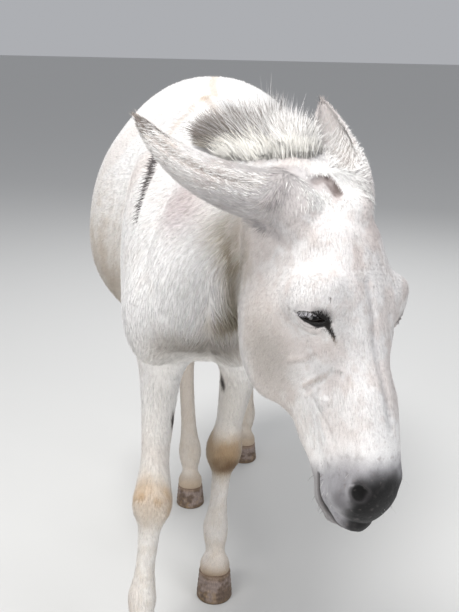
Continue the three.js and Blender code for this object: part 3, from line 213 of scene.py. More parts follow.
def ear_axis(s):
    E = EAR[s]; b = h2w(E['base']); tip = np.array(E['tip'], F); e = unit(tip - b); L = np.linalg.norm(tip - b)
    c = FACING - (b + tip) / 2; c = unit(c - (c @ e) * e); k = np.cross(e, c); k = k * np.sign(k[2])
    a = np.radians(E['turn']); o = np.cos(a) * c + np.sin(a) * k; q = np.cross(e, o); q = q * np.sign(q[2])
    return b, e, o, q, L
def ear_at(s, t):
    b, e, o, q, L = ear_axis(s); t = np.asarray(t, F)[..., None]; return b + e * L * t + q * EAR[s]['sag'] * 4 * np.maximum(t, 0) * (1 - np.maximum(t, 0))
def ear(s):
    b, e, o, q, L = ear_axis(s); k = EAR_SKIN; G = EAR_GIRTH[s]; mid = [g for g in G if .05 <= g[0] <= .97]
    outer = Loft([(*(ear_at(s, t) + o * of), w, a, p, 2.) for t, w, a, p, of, sl in G], o)
    inner = Loft([(*(ear_at(s, t) + o * of), max(w - k, .002) * .98, max(a - k, .002), max(p - k, .002), 2.) for t, w, a, p, of, sl in mid], o, cap=.8)
    slit = Loft([(*(ear_at(s, t) + o * (of + a * .5)), sl, a * .9, a * .5, 2.) for t, w, a, p, of, sl in mid], o)
    return outer, Two(inner, slit, .006)

def ear_face(s, t):
    """the line along the front of an ear"""
    b, e, o, q, L = ear_axis(s); a = np.interp(t, [g[0] for g in EAR_GIRTH[s]], [g[2] for g in EAR_GIRTH[s]]); f = np.interp(t, [g[0] for g in EAR_GIRTH[s]], [g[4] for g in EAR_GIRTH[s]]); return ear_at(s, t) + o * (a + f - .001)[..., None]
SEAM = ear_face('R', np.linspace(.10, .97, 14))
# ---- eyes: place, outward direction, the line between the corners, and the direction across the lids
def eye_frame(s):
    c = h2w([s * EYE_AT[0], EYE_AT[1], EYE_AT[2]]); n = hdir([s * .84, .02, .54]); t = hdir([-s * .54, 0, .84])
    al = unit(.907 * t + .419 * hd); al = unit(al - (al @ n) * n); ac = np.cross(n, al); ac = ac * np.sign(-ac @ hd)   # across points up the face
    return c, n, al, ac

def lids(u):
    """how far the opening of the eye reaches above and below its middle line"""
    return .0042 * np.maximum(1 - np.abs(u) ** 1.9, 0) - .0003 * u, .0066 * np.maximum(1 - np.abs(u) ** 2.3, 0)
MOUTH = [(.044, .404, -.1345), (.042, .414, -.1350), (.040, .426, -.1345), (.0355, .442, -.1325), (.0290, .459, -.1285), (.0240, .471, -.1205), (.0170, .482, -.1105), (.008, .487, -.1055), (0, .488, -.1045)]
NOSE_FURROW = [(-.016, .140, -.0045), (-.0135, .166, -.0043), (-.0140, .209, -.0072), (-.0115, .237, -.0102), (-.0076, .265, -.0110), (-.0040, .297, -.0100), (-.0010, .324, -.0113), (.004, .350, -.012)]
NOTCH = [(-.0365, -.0215, -.057), (-.031, -.024, -.0535), (-.024, -.023, -.047), (-.0215, -.012, -.041), (-.0200, .002, -.033)]
# ---- how deep the skin lies under the tips of the coat
def ear_near(P):
    d = np.full(len(P), 9.)
    for s in 'RL':
        T = np.linspace(.12, 1, 9); A = ear_at(s, T)
        for a, b in zip(A[:-1], A[1:]):
            ab = b - a; t = np.clip(((P - a) @ ab) / (ab @ ab), 0, 1); d = np.minimum(d, np.linalg.norm(P - a - t[:, None] * ab, axis=1))
    return d
HEAD_CUT = (np.array([.10, -.285, .90]), unit([.61, -.77, .19]))
def headness(P): return step(-.02, .06, (P - HEAD_CUT[0]) @ HEAD_CUT[1])
def depth(P):
    h = w2h(P); d = np.full(len(P), .0045)
    d += (.0028 - .0045) * step(.56, .44, P[:, 2])
    d += (.0018 - d) * step(.40, .25, P[:, 2])
    hn = headness(P); d += (.0026 - d) * hn
    d += (.0016 - d) * hn * step(.33, .41, h[:, 1])
    e = h.copy(); e[:, 0] = np.abs(e[:, 0]); q = np.linalg.norm(e - EYE_AT, axis=1); d += (.0016 - d) * step(.05, .025, q) * hn
    d += (.0015 - d) * step(.070, .050, ear_near(P))
    return d

def onto(S, pts, n=5):
    """points brought onto the surface"""
    Q = np.array(pts, F)
    for _ in range(n):
        d = S(Q, .03); G = np.stack([S(Q + np.eye(3)[j] * .0008, .03) - d for j in range(3)], 1) / .0008; Q = Q - np.clip(d, -.01, .01)[:, None] * unit(G)
    return Q
def animal(skin=True):
    S = Shape()
    S.add(Loft([(xc, y, zw, w, zt - zw, zw - zb, n) for y, zt, zw, zb, w, n, xc in TRUNK], (0, 0, 1)), 0)
    S.add(Loft(NECK, (0, 0, 1)), .08)
    for s in (-1, 1):
        S.add(Ell((s * .080 - .008, -.050, .80), (.054, .110, .19), rot('x', -12)), .06)
        S.add(Ell((s * .072 - .008, -.175, .71), (.052, .065, .085)), .05)
    for k in 'RL':
        j = FORE[k]; S.add(limb(j, FORE_GIRTH, (*(np.array(j['el']) + [0, -.01, .10]), .050, .075, .085, 2)), .05)
        j = HIND[k]; S.add(limb(j, HIND_GIRTH, (*(np.array(j['hip']) + [0, 0, .05]), .080, .13, .125, 2)), .06)
    S.add(Ell((0, .672, .842), (.206, .168, .234)), .05)
    for s, k in ((-1, 'R'), (1, 'L')):
        j = HIND[k]; S.add(Cone((s * .098, .765, .800), .65 * np.array(j['el']) + .35 * np.array(j['kn']) + [0, .020, .005], .084, .055), .05)
    S.add(Loft([(*h2w((0, r[0], r[1])), *r[2:]) for r in SKULL], hdir((0, 0, 1)), 9), .03)
    S.add(Loft([(*h2w((0, r[0], r[1])), *r[2:]) for r in JAW], hdir((0, 0, 1)), 9), .025)
    for s in (-1, 1):
        H = lambda x, d, z: h2w((s * x, d, z))
        S.add(Ell(H(.070, .156, -.058), (.037, .036, .044), HM), .032)
        S.push(H(.066, .160, -.150), (.03, .066, .068), .010, HM)
        S.push(H(.084, .190, -.052), (.018, .024, .020), .004, HM)
        S.groove([H(.078, .225, -.078), H(.064, .265, -.084), H(.056, .30, -.088)], .012, .005)
        S.push(H(.080, .095, -.040), (.022, .022, .022), -.008, HM)
        S.push(H(.066, .235, -.045), (.02, .03, .03), -.006, HM)
        S.push(H(.082, .140, -.022), (.020, .018, .022), .0085, HM); S.push(H(.046, .030, -.020), (.028, .022, .028), -.0060, HM); S.push(H(.036, .270, -.020), (.018, .042, .020), -.0042, HM)
        S.push(H(.052, .425, -.050), (.02, .03, .025), .004, HM)
        S.add(Cone(H(.056, .03, -.085), H(.066, -.003, -.100), .036, .036), .02)
    for k in 'RL':
        o, i = ear(k); S.add(o, .012)
        if k == 'L': S.sub(i, .004)
    S.add(Loft([(0, y, z, w, w, w, 2) for y, z, w in TAIL], (0, -1, 0)), .02)
    S.shift(depth)
    for s in (-1, 1):
        H = lambda x, d, z: h2w((s * x, d, z))
        # wings and opening of the nostril
        S.push(H(.0455, .417, -.038), (.013, .019, .014), .0050 if s < 0 else .0015, HM)
        S.push(H(.058, .452, -.064), (.012, .012, .014), .0030, HM)
        S.sub(Ell(H(.0505, .4300, -.0440), (.0150, .0105, .0085), HM @ rot('z', s * -32)), .005)
        S.sub(Ell(H(.0435, .4370, -.0420), (.0130, .0095, .0070), HM @ rot('z', s * -32)), .005)
        S.groove([H(.0515, .4190, -.0560), H(.0500, .4300, -.0615), H(.0470, .4410, -.0600)], .0042, .0024)
        S.push(H(0, .484, -.086), (.030, .014, .026), .0020, HM)
        # mouth line and lips
        if s < 0: MOUTH[:] = [(abs(v[0]), v[1], v[2]) for v in w2h(onto(S, [H(*v) for v in MOUTH]))]
        S.groove([H(*v) for v in MOUTH], .0024, -.0060)
        S.groove([H(v[0], v[1], v[2] + .010) for v in MOUTH[1:]], .006, .0014)
        # furrows of the face
        S.groove(onto(S, [H(.052, .272, -.122), H(.054, .266, -.100), H(.054, .262, -.080), H(.056, .252, -.060), H(.056, .258, -.046)]), .0042, .0030); S.groove(onto(S, [H(.052, .281, -.122), H(.054, .274, -.098), H(.055, .270, -.078)]), .0050, -.0018)
        S.groove([H(.048, .30, -.100), H(.051, .345, -.085), H(.052, .38, -.074)], .006, -.0016)
        S.groove(onto(S, [H(.058, .232, -.132), H(.060, .236, -.104), H(.061, .228, -.082)]), .0050, .0022); S.groove(onto(S, [H(.050, .290, -.100), H(.053, .300, -.076)]), .0046, .0020)
        S.groove([H(.022, .080, -.007), H(.026, .16, -.003), H(.024, .25, -.006), H(.022, .34, -.010), H(.018, .39, -.018)], .008, -.0011)
        S.groove([H(.051, .383, -.058), H(.0555, .400, -.061), H(.0555, .418, -.066), H(.0530, .434, -.0720)], .0045, -.0036)
        S.push(H(.060, .20, -.020), (.02, .03, .014), -.003, HM)
        # folds at the root of the ear
        for q in range(4): S.groove([H(.060 + .006 * q, .034 + .010 * q, -.030 - .012 * q), H(.080 + .004 * q, .040 + .009 * q, -.060 - .010 * q), H(.090, .050 + .006 * q, -.095)], .0036, -.0014)
        # lids
        c, n, al, ac = eye_frame(s); M = np.stack([al, ac, n], 1)
        S.add(Ell(c, (EYE_R + .0030,) * 3), .008)
        for q, (r, lift, amp) in enumerate([(.024, .0115, -.0016), (.027, .0175, -.0014), (.030, .0240, -.0010)]):
            if s > 0 and q: continue
            a = np.linspace(-1, 1, 9); S.groove([c + al * r * v + ac * (lift * (1 - v * v) - .001) + n * (.0195 - .010 * v * v - .002 * q) for v in a], .0022, amp)
        for q, (r, lift, amp) in enumerate([(.023, -.0125, -.0014), (.026, -.0185, -.0009)]):
            a = np.linspace(-1, 1, 9); S.groove([c + al * r * v + ac * (lift * (1 - v * v) + .001) + n * (.0185 - .011 * v * v - .003 * q) for v in a], .0022, amp)
        def slit(P, c=c, M=M):
            q = (P - c) @ M; top, low = lids(q[:, 0] / .0205)
            u = np.maximum(q[:, 1] - top, -low - q[:, 1]); e = np.abs(q[:, 0]) - .0205
            return np.maximum(np.maximum(u * .9, e), .0085 - q[:, 2])
        r = np.abs(M) @ np.array([.0205, .008, .03]); S.sub(Fn(slit, c - r, c + r), .0014)
        S.groove([c + al * .0225 - ac * .005 + n * .0125, c + al * .029 - ac * .0145 + n * .006, c + al * .0355 - ac * .021 + n * .001], .0034, -.0026)
    S.groove([h2w(v) for v in NOSE_FURROW], .0075, -.0030); S.groove(onto(S, [h2w(v) for v in NOTCH]), .0060, -.0060)
    S.groove(SEAM, .0042, -.0062); S.groove(SEAM + np.array([0, 0, .009]), .006, .0012)
    # creases where the neck meets the jaw, folds of the breast and elbow
    S.groove([(.085, -.330, .80), (.070, -.345, .86), (.075, -.345, .93)], .010, -.003)
    S.groove([(-.05, -.275, .745), (-.02, -.26, .68), (.02, -.245, .645)], .012, -.004)
    S.groove([(-.115, -.06, .60), (-.118, -.01, .66), (-.135, .05, .72)], .012, -.004)
    S.groove([(.105, -.04, .60), (.112, .02, .66), (.128, .08, .72)], .012, -.004)
    for k, j in FORE.items():
        kn = np.array(j['kn']); ft = np.array(j['ft'])
        S.push(kn + [0, -.026, .012], (.022, .016, .022), .003); S.push(kn + [0, .030, .004], (.016, .012, .016), .003)
        for sx in (-1, 1):
            S.groove([kn + [sx * .020, -.016, .045], kn + [sx * .024, -.018, -.03]], .007, -.0022)
            S.groove([kn + [sx * .0205, .006, -.05], ft + [sx * .018, .010, .04]], .005, -.0018)
    for k, j in HIND.items():
        kn = np.array(j['kn']); ft = np.array(j['ft'])
        S.push(kn + [0, .036, .030], (.018, .016, .03), .003)
        for sx in (-1, 1):
            S.groove([kn + [sx * .028, .018, .10], kn + [sx * .028, .020, .03]], .009, -.004)
            S.groove([kn + [sx * .0205, .006, -.06], ft + [sx * .018, .010, .04]], .005, -.0018)
    return S

# =====================================================================  surface of a distance function on cells of several sizes
OFF8 = np.array([[i, j, k] for i in (0, 1) for j in (0, 1) for k in (0, 1)])
def pack(I): I = I.astype(np.int64) + 64; return (I[:, 0] << 42) | (I[:, 1] << 21) | I[:, 2]
def unpack(k): return np.stack([k >> 42, (k >> 21) & ((1 << 21) - 1), k & ((1 << 21) - 1)], 1) - 64
def isosurface(f, lo, hi, h, wants, safe=1.7):
    L = len(wants); lo = lo - 4 * h; U = h / 2 ** L                      # U: the finest step
    size = lambda l: h / 2 ** l
    centre = lambda I, l: lo + (I + .5) * size(l)
    def near(I, l):
        C = centre(I, l); loose = ((C > [-.22, .60, .58]) & (C < [.22, .84, .76])).all(1)      # under the rump the distances are rougher
        return I[np.abs(many(lambda P: f(P, size(l) * 2 + .03), C)) < size(l) * .87 * safe * (1 + 1.2 * loose)]
    n = np.ceil((hi + 4 * h - lo) / (8 * h)).astype(int) + 1
    I = np.stack(np.meshgrid(*[np.arange(k) for k in n], indexing='ij'), -1).reshape(-1, 3)
    for l in (-3, -2, -1, 0):
        I = near(I, l)
        if l < 0: I = (I[:, None] * 2 + OFF8[None]).reshape(-1, 3)
    want = lambda J, l: wants[l](centre(J, l)) if l < L else np.zeros(len(J), bool)
    polys, cross_at, flips = [], [], []
    E12 = [(o, a) for a in range(3) for o in OFF8 if o[a] == 0]
    for l in range(L + 1):
        w = want(I, l); leaf = I[~w]; kids = (I[w][:, None] * 2 + OFF8[None]).reshape(-1, 3)
        if len(leaf):
            ek = np.unique(np.concatenate([pack(leaf + o) * 3 + a for o, a in E12])); ax = ek % 3; C = unpack(ek // 3)
            step_ = np.eye(3, dtype=int)[ax]
            ck, inv = np.unique(np.concatenate([pack(C), pack(C + step_)]), return_inverse=True)
            val = many(lambda P: f(P, .03), lo + unpack(ck) * size(l)); v = val[inv].reshape(2, -1)
            m = (v[0] < 0) != (v[1] < 0); C, ax, v, step_ = C[m], ax[m], v[:, m], step_[m]
            e1 = np.eye(3, dtype=int)[(ax + 1) % 3]; e2 = np.eye(3, dtype=int)[(ax + 2) % 3]
            around = np.stack([C, C - e1, C - e1 - e2, C - e2], 1)                       # (n,4,3)
            wf = want(around.reshape(-1, 3), l).reshape(-1, 4); ok = ~wf.any(1)
            C, v, step_, around = C[ok], v[:, ok], step_[ok], around[ok]
            t = (v[0] / (v[0] - v[1]))[:, None]; X = lo + (C + step_ * t) * size(l)
            J = around.reshape(-1, 3); lev = np.full(len(J), l); out = J.copy()
            for k in range(l - 1, -1, -1):                                       # the largest uncut cell that holds it
                anc = J >> (l - k); q = ~want(anc, k); lev[q] = k; out[q] = anc[q]
            polys.append((pack(out) * 8 + lev).reshape(-1, 4)); cross_at.append(X); flips.append(v[0] < 0)
        if l < L and len(kids): I = near(kids, l + 1)
        else: break
    Q = np.concatenate(polys); X = np.concatenate(cross_at); fl = np.concatenate(flips)
    ids, inv = np.unique(Q, return_inverse=True); Q = inv.reshape(-1, 4)
    P = np.zeros((len(ids), 3)); cnt = np.zeros(len(ids))
    for j in range(4): np.add.at(P, Q[:, j], X); np.add.at(cnt, Q[:, j], 1)
    P /= cnt[:, None]; cell = h / 2. ** (ids % 8)
    Q = np.where(fl[:, None], Q, Q[:, ::-1])
    g = lambda p: f(p, .03)
    e = h * .2 / 2 ** L * 2; d = many(g, P); G = np.stack([many(g, P + np.eye(3)[j] * e) - d for j in range(3)], 1) / e
    m = np.maximum(np.linalg.norm(G, axis=1), .3); P = P - np.clip(d / m, -cell * .5, cell * .5)[:, None] * unit(G)
    return P, Q, cell
def faces_of(Q):
    """quads, with the doubled corners of the smaller ones dropped"""
    same = np.stack([Q[:, j] == Q[:, (j + 1) % 4] for j in range(4)], 1); k = same.sum(1)
    quads = Q[k == 0]; t = Q[k == 1]; s = same[k == 1]; keep = ~s; tri = t[keep].reshape(-1, 3) if len(t) else np.zeros((0, 3), int)
    bad = (quads[:, 0] == quads[:, 2]) | (quads[:, 1] == quads[:, 3]); return quads[~bad], tri
def triangles(P, quads, tri):
    a = np.linalg.norm(P[quads[:, 0]] - P[quads[:, 2]], axis=1); b = np.linalg.norm(P[quads[:, 1]] - P[quads[:, 3]], axis=1); s = a <= b
    q = quads; A = np.where(s[:, None], q[:, [0, 1, 2]], q[:, [1, 2, 3]]); B = np.where(s[:, None], q[:, [0, 2, 3]], q[:, [1, 3, 0]])
    return np.concatenate([A, B, tri])
def capsules(pts, r):
    pts = np.asarray(pts, F)
    def g(P):
        d = np.full(len(P), 9.)
        for a, b in zip(pts[:-1], pts[1:]):
            ab = b - a; t = np.clip(((P - a) @ ab) / (ab @ ab), 0, 1); d = np.minimum(d, np.linalg.norm(P - a - t[:, None] * ab, axis=1))
        return d < r
    return g
def either(*fs):
    def g(P):
        m = np.zeros(len(P), bool)
        for f in fs: m |= f(P)
        return m
    return g
HEADZONE = either(capsules([h2w((0, .0, -.10)), h2w((0, .20, -.11)), h2w((0, .46, -.10))], .145), capsules(ear_at('R', [0, .5, 1.]), .065), capsules(ear_at('L', [0, .5, 1.]), .065))
FINE = []
for s in (-1, 1):
    FINE += [capsules([h2w((s * .0815, .1798, -.0558)), h2w((s * .0825, .1808, -.0558))], .040), capsules([h2w((s * .052, .41, -.05)), h2w((s * .052, .46, -.06))], .030),
             capsules([h2w((s * .050, .39, -.126)), h2w((s * .038, .44, -.130)), h2w((0, .476, -.110))], .019)]
FINE += [capsules(ear_at('R', [.16, .5, 1.03]), .046), capsules(ear_at('L', [.16, .5, 1.03]), .050)]
LIDS = either(*[capsules([h2w((s * .0885, .1793, -.0508)), h2w((s * .0895, .1808, -.0508))], .0255) for s in (-1, 1)])

SKIN = animal()
lo, hi = SKIN.box()
P, Q, CELL = isosurface(SKIN, lo, hi, .0068, [HEADZONE, either(*FINE), LIDS])
# only the one outer surface is kept
quads, tri = faces_of(Q)
def parts_of(n, quads, tri):
    lab = np.arange(n)
    ed = np.concatenate([quads[:, [0, 1]], quads[:, [1, 2]], quads[:, [2, 3]], tri[:, [0, 1]], tri[:, [1, 2]]])
    while True:
        m = np.minimum(lab[ed[:, 0]], lab[ed[:, 1]]); new = lab.copy(); np.minimum.at(new, ed[:, 0], m); np.minimum.at(new, ed[:, 1], m); new = new[new]
        if (new == lab).all(): return lab
        lab = new
lab = parts_of(len(P), quads, tri); u, c = np.unique(lab, return_counts=True); main = u[c.argmax()]
print('skin pieces', len(u), sorted(c)[-4:], 'verts', len(P), 'time', round(time.time() - T0, 1))
keep = lab == main; new = np.cumsum(keep) - 1
quads = new[quads[keep[quads[:, 0]]]]; tri = new[tri[keep[tri[:, 0]]]]; P = P[keep]; CELL = CELL[keep]
TRI = triangles(P, quads, tri)
def open_edges(T):
    e = np.concatenate([T[:, [0, 1]], T[:, [1, 2]], T[:, [2, 0]]]); e.sort(1); k, c = np.unique(e[:, 0] * np.int64(1 << 32) + e[:, 1], return_counts=True)
    return (c == 1).sum(), (c > 2).sum()
print('triangles', len(TRI), 'open/over edges', open_edges(TRI))

FACE_N = np.cross(P[TRI[:, 1]] - P[TRI[:, 0]], P[TRI[:, 2]] - P[TRI[:, 0]]); AREA = np.linalg.norm(FACE_N, axis=1) / 2
NRM = np.zeros_like(P)
for j in range(3): np.add.at(NRM, TRI[:, j], FACE_N)
NRM = unit(NRM)

# =====================================================================  markings: one function of the place for skin and coat alike
def vnoise(P, f, seed):
    Q = np.asarray(P, F) * f + seed * 13.7; I = np.floor(Q).astype(np.int64); t = Q - I; t = t * t * (3 - 2 * t); out = 0
    for o in OFF8:
        J = I + o; k = (J[:, 0] * 73856093) ^ (J[:, 1] * 19349663) ^ (J[:, 2] * 83492791) ^ (seed * 2654435761)
        k = (k ^ (k >> 13)) * 1274126177 & 0xffffffff; k = (k ^ (k >> 16)) & 0xffff
        w = np.where(o, t, 1 - t).prod(1); out = out + w * (k / 65535.)
    return out
ASKEW = rot('x', 37) @ rot('y', 61) @ rot('z', 23)
def cloud(P, f, seed, n=3):
    a, s, t = .5, 0, 0; Q = np.asarray(P, F) @ ASKEW
    for i in range(n): s = s + a * vnoise(Q, f * 2.13 ** i, seed + i); t += a; a *= .55; Q = Q @ ASKEW
    return s / t
def ball(P, c, r): return np.exp(-((((P - np.asarray(c)) / np.asarray(r)) ** 2).sum(1)) ** 1.5)
def near_line(P, pts, w0, w1=None, hard=.6):
    """1 on a line, 0 beyond its half width, which runs from w0 to w1"""
    pts = np.asarray(pts, F); w1 = w0 if w1 is None else w1; best = np.full(len(P), 1e9); at = np.zeros(len(P)); n = len(pts) - 1
    for i, (a, b) in enumerate(zip(pts[:-1], pts[1:])):
        ab = b - a; t = np.clip(((P - a) @ ab) / (ab @ ab), 0, 1); d = np.linalg.norm(P - a - t[:, None] * ab, axis=1); m = d < best; best[m] = d[m]; at[m] = ((i + t) / n)[m]
    w = w0 + (w1 - w0) * at; return step(1.0, hard, best / w)
WHITE = np.array([.925, .918, .912])
def tint(c, w, rgb): w = np.clip(w, 0, 1)[:, None]; return c * (1 - w) + np.asarray(rgb) * w
def ear_coords(P, s):
    b, e, o, q, L = ear_axis(s); t = (P - b) @ e / L; c = ear_at(s, np.clip(t, 0, 1)); d = P - c
    return t, d @ o, d @ q, np.linalg.norm(d - (d @ e)[:, None] * e, axis=1)
def markings(P):
    P = np.asarray(P, F); h = w2h(P); n = len(P); hn = headness(P); body = 1 - hn
    c = np.repeat(WHITE[None], n, 0); x, y, z = P.T
    big = cloud(P, 9, 3); mid = cloud(P, 26, 11); sm = cloud(P, 80, 23); tiny = cloud(P, 240, 31, 2)
    # soft blotches of pinkish grey and tan all over, strongest low on the flank
    c = tint(c, body * step(.50, .66, big) * .30, (.84, .79, .76))
    flank = body * step(.05, .22, y) * step(.98, .66, z) * step(.46, .52, z)
    c = tint(c, flank * (.20 + .55 * step(.42, .62, mid)), (.80, .745, .69)); c = tint(c, flank * step(.55, .68, sm) * .45, (.70, .635, .58))
    c = tint(c, flank * step(.72, .56, z) * .35, (.66, .60, .53))
    c = tint(c, body * step(.56, .50, z) * step(.0, .2, y) * .25, (.66, .60, .55))
    # shoulder, neck and breast
    c = tint(c, ball(P, (-.030, -.235, .925), (.045, .055, .055)) * (.40 + .45 * mid), (.72, .665, .665)); c = tint(c, ball(P, (-.10, -.06, .93), (.05, .05, .05)) * .35 * mid * 1.6, (.80, .73, .70))
    streak = cloud(P * [1, 1, .25], 150, 41, 2)
    c = tint(c, ball(P, (.066, -.345, .872), (.045, .055, .060)) * (.45 + .50 * step(.35, .65, streak)), (.56, .50, .42)); c = tint(c, ball(P, (.035, -.330, .900), (.040, .04, .045)) * .22, (.76, .72, .64))
    c = tint(c, ball(P, (.045, -.290, .742), (.030, .034, .024)) * (.55 + .45 * streak), (.50, .44, .35)); c = tint(c, ball(P, (.020, -.30, .770), (.035, .03, .035)) * .5, (.97, .96, .95))
    c = tint(c, body * step(.72, .60, z) * step(-.02, -.12, y) * .22, (.74, .69, .61))
    # painted shade: an olive band on the neck behind the cheek, partly the coat's own olive tone, and a narrower
    # painted shadow line in the crease along the cheek's edge
    c = tint(c, body * near_line(P, [(.078, -.352, .895), (.069, -.347, .877), (.064, -.338, .826), (.055, -.290, .745)], .040, .034, .0) * (.62 + .34 * streak), (.43, .395, .33))
    c = tint(c, body * near_line(P, [(.090, -.360, .900), (.082, -.352, .860), (.078, -.345, .800), (.066, -.300, .745)], .020, .017, .0) * .78, (.27, .245, .20))
    # painted shade under the breast, and a grey painted shade on its lower front
    c = tint(c, body * ball(P, (.010, -.255, .680), (.090, .065, .052)) * (.66 + .30 * mid), (.50, .475, .445)); c = tint(c, body * ball(P, (-.009, -.296, .780), (.060, .045, .055)) * .45, (.70, .695, .69))
    # darker low on the flank: partly greyish coat, partly painted shade
    c = tint(c, body * step(.02, .16, y) * step(.90, .64, z) * step(.44, .52, z) * .50, (.64, .595, .535))
    # painted shade on the left forearm and just below the left knee
    c = tint(c, body * ball(P, (.050, .03, .50), (.07, .09, .11)) * .35, (.66, .62, .56)); c = tint(c, body * ball(P, (.044, .075, .322), (.055, .060, .045)) * .80, (.40, .33, .23))
    # the cross: a line along the back and one down each shoulder
    c = tint(c, step(.013, .005, np.abs(x + .004 * np.sin(y * 30))) * step(.93, 1.0, z) * body * step(.0, .06, y) * (.30 + .2 * mid), (.74, .65, .55))
    for sx in (-1, 1):
        mir = lambda L: [(x_ if sx < 0 else -.012 - x_, y_, z_) for x_, y_, z_ in L]; here = (x + .006) * sx > -.012
        up = near_line(P, mir([(-.006, .050, 1.076), (-.026, -.012, 1.057), (-.050, -.042, 1.035), (-.064, -.064, 1.014)]), .015, .012, .1)
        yz = P * [0, 1, 1]; lo_ = near_line(yz, [(0, -.080, .998), (0, -.117, .959), (0, -.131, .931), (0, -.140, .908), (0, -.148, .880)], .0078, .0034, .45) * step(.055, .075, np.abs(x + .006))
        c = tint(c, up * here * .42 * (.5 + .5 * mid), (.66, .56, .47)); c = tint(c, lo_ * here * (.97 if sx < 0 else .7), (.29, .27, .27))
    # legs: stained knees and coronets, dusty below, with painted shade on the left foreleg
    for k, j in list(FORE.items()) + [('h' + a, b) for a, b in HIND.items()]:
        kn, ft, hf = (np.array(j[q]) for q in ('kn', 'ft', 'hf')); front = step(.02, -.025, y - kn[1]) if k in 'RL' else step(-.01, .03, y - kn[1])
        m = (np.abs(x - kn[0]) < .07) & (np.abs(y - kn[1]) < .12)
        c = tint(c, m * ball(P, kn + [0, 0, .012], (.06, .07, .052)) * front * (.45 + .55 * step(.30, .65, mid)) * (1. if k in 'RL' else .5), (.69, .57, .44))
        near = np.exp(-((np.linalg.norm(P[:, :2] - hf[:2], axis=1) / .085) ** 4)) * step(.30, .05, z)
        c = tint(c, near * (.15 + .5 * step(.40, .65, mid)) * .42, (.78, .70, .60)); c = tint(c, near * step(.085, .052, z) * (.55 + .45 * sm), (.56, .46, .36))
    for q in ((-.050, -.070, .474), (.037, .014, .525), (.078, -.050, .480)): c = tint(c, ball(P, q, (.009, .009, .016)) * 1.6, (.20, .17, .155))
    # random pale-tan blotches low on the legs; the lower hind legs greyer; on the lower left foreleg the greying is
    # painted shade
    c = tint(c, body * step(.50, .30, z) * step(.50, .62, sm) * .20, (.78, .72, .65)); c = tint(c, body * step(.50, .36, z) * (step(.3, .4, y) * .42 + (x > -.02) * step(.3, .2, y) * .16), (.80, .75, .68))
    # painted shade around the left knee, brownish, darkest below it
    c = tint(c, ball(P, np.array(FORE['L']['kn']) + [0, -.022, .010], (.045, .050, .034)) * .42, (.56, .46, .34)); c = tint(c, ball(P, np.array(FORE['L']['kn']) + [.004, -.022, -.026], (.040, .045, .020)) * (.45 + .5 * step(.35, .6, mid)), (.42, .33, .24))
    # tail
    tl = step(.86, .90, y) * (np.abs(x) < .07); c = tint(c, tl * step(.74, .56, z) * .55, (.66, .60, .54)); c = tint(c, tl * step(.50, .62, mid) * .3, (.76, .70, .64))
    # ---- head
    a = np.abs(h[:, 0]); H = np.stack([a, h[:, 1], h[:, 2]], 1); d = h[:, 1]; hz_ = h[:, 2]
    c = tint(c, hn * step(.38, .22, d) * .50, (.85, .835, .83)); c = tint(c, hn * step(.47, .62, mid) * step(.42, .30, d) * .50, (.82, .775, .755)); c = tint(c, hn * step(.54, .68, sm) * step(.43, .30, d) * .34, (.76, .72, .70))
    c = tint(c, hn * ball(H, (.068, .17, -.165), (.05, .085, .055)) * (.35 + .45 * mid), (.80, .755, .73)); c = tint(c, hn * ball(H, (.035, .065, -.015), (.04, .06, .04)) * (.10 + .35 * step(.45, .6, mid)), (.84, .785, .765))
    # the first tint is painted shade low on the near jowl
    c = tint(c, hn * ball(h, (-.060, .215, -.175), (.035, .060, .050)) * .72, (.64, .625, .61)); c = tint(c, hn * step(-.10, -.19, hz_) * step(.08, .2, d) * .18, (.74, .69, .63))
    vein = near_line(H, [(.052, .272, -.122), (.054, .264, -.085), (.056, .257, -.046)], .006, .004, .3); c = tint(c, hn * vein * .45, (.74, .68, .64)); c = tint(c, hn * near_line(H, [(.058, .232, -.132), (.060, .236, -.104), (.061, .228, -.082)], .0065, .0040, .3) * .36, (.72, .67, .64)); c = tint(c, hn * near_line(H, [(.050, .290, -.100), (.053, .300, -.076)], .0055, .0036, .3) * .32, (.72, .67, .65))
    c = tint(c, hn * ball(H, (.050, .345, -.042), (.035, .06, .035)) * .14, (.87, .82, .80))
    # painted shade along the shallow furrow beside the nose ridge
    c = tint(c, hn * near_line(H, [(.022, .06, -.007), (.026, .16, -.003), (.022, .25, -.006), (.020, .34, -.010)], .010, .008, .1) * .20, (.76, .73, .71))
    c = tint(c, hn * ball(h, (-.015, -.020, -.045), (.060, .045, .055)) * .8, (.955, .95, .945)); c = tint(c, hn * step(.70, .80, tiny) * step(.40, .33, d) * .16, (.55, .50, .48))
    fl_ = np.full(n, 9.); pts_ = np.array(NOSE_FURROW)
    for u_, v_ in zip(pts_[:-1], pts_[1:]): w_ = v_ - u_; f_ = np.clip(((h - u_) @ w_) / (w_ @ w_), 0, 1); fl_ = np.minimum(fl_, np.linalg.norm(h - u_ - f_[:, None] * w_, axis=1))
    # painted shade in the furrow down the nose, and soft painted shade in front of the near eye
    c = tint(c, hn * step(.0085, .001, fl_) * .34, (.62, .61, .62)); c = tint(c, hn * ball(h, (-.060, .200, -.022), (.016, .036, .020)) * .30, (.66, .65, .65))
    # painted shadow in the crease at the poll beside the ear's root, with a pinkish-grey band of painted shade beside
    # it
    nt_ = near_line(h, NOTCH, .0105, .0100, .55); c = tint(c, nt_ * (.62 + .34 * step(.3, .7, streak)), (.27, .23, .215)); c = tint(c, near_line(h, [(v[0] - .003, v[1] + .008, v[2]) for v in NOTCH], .022, .018, .1) * .46, (.66, .60, .585))
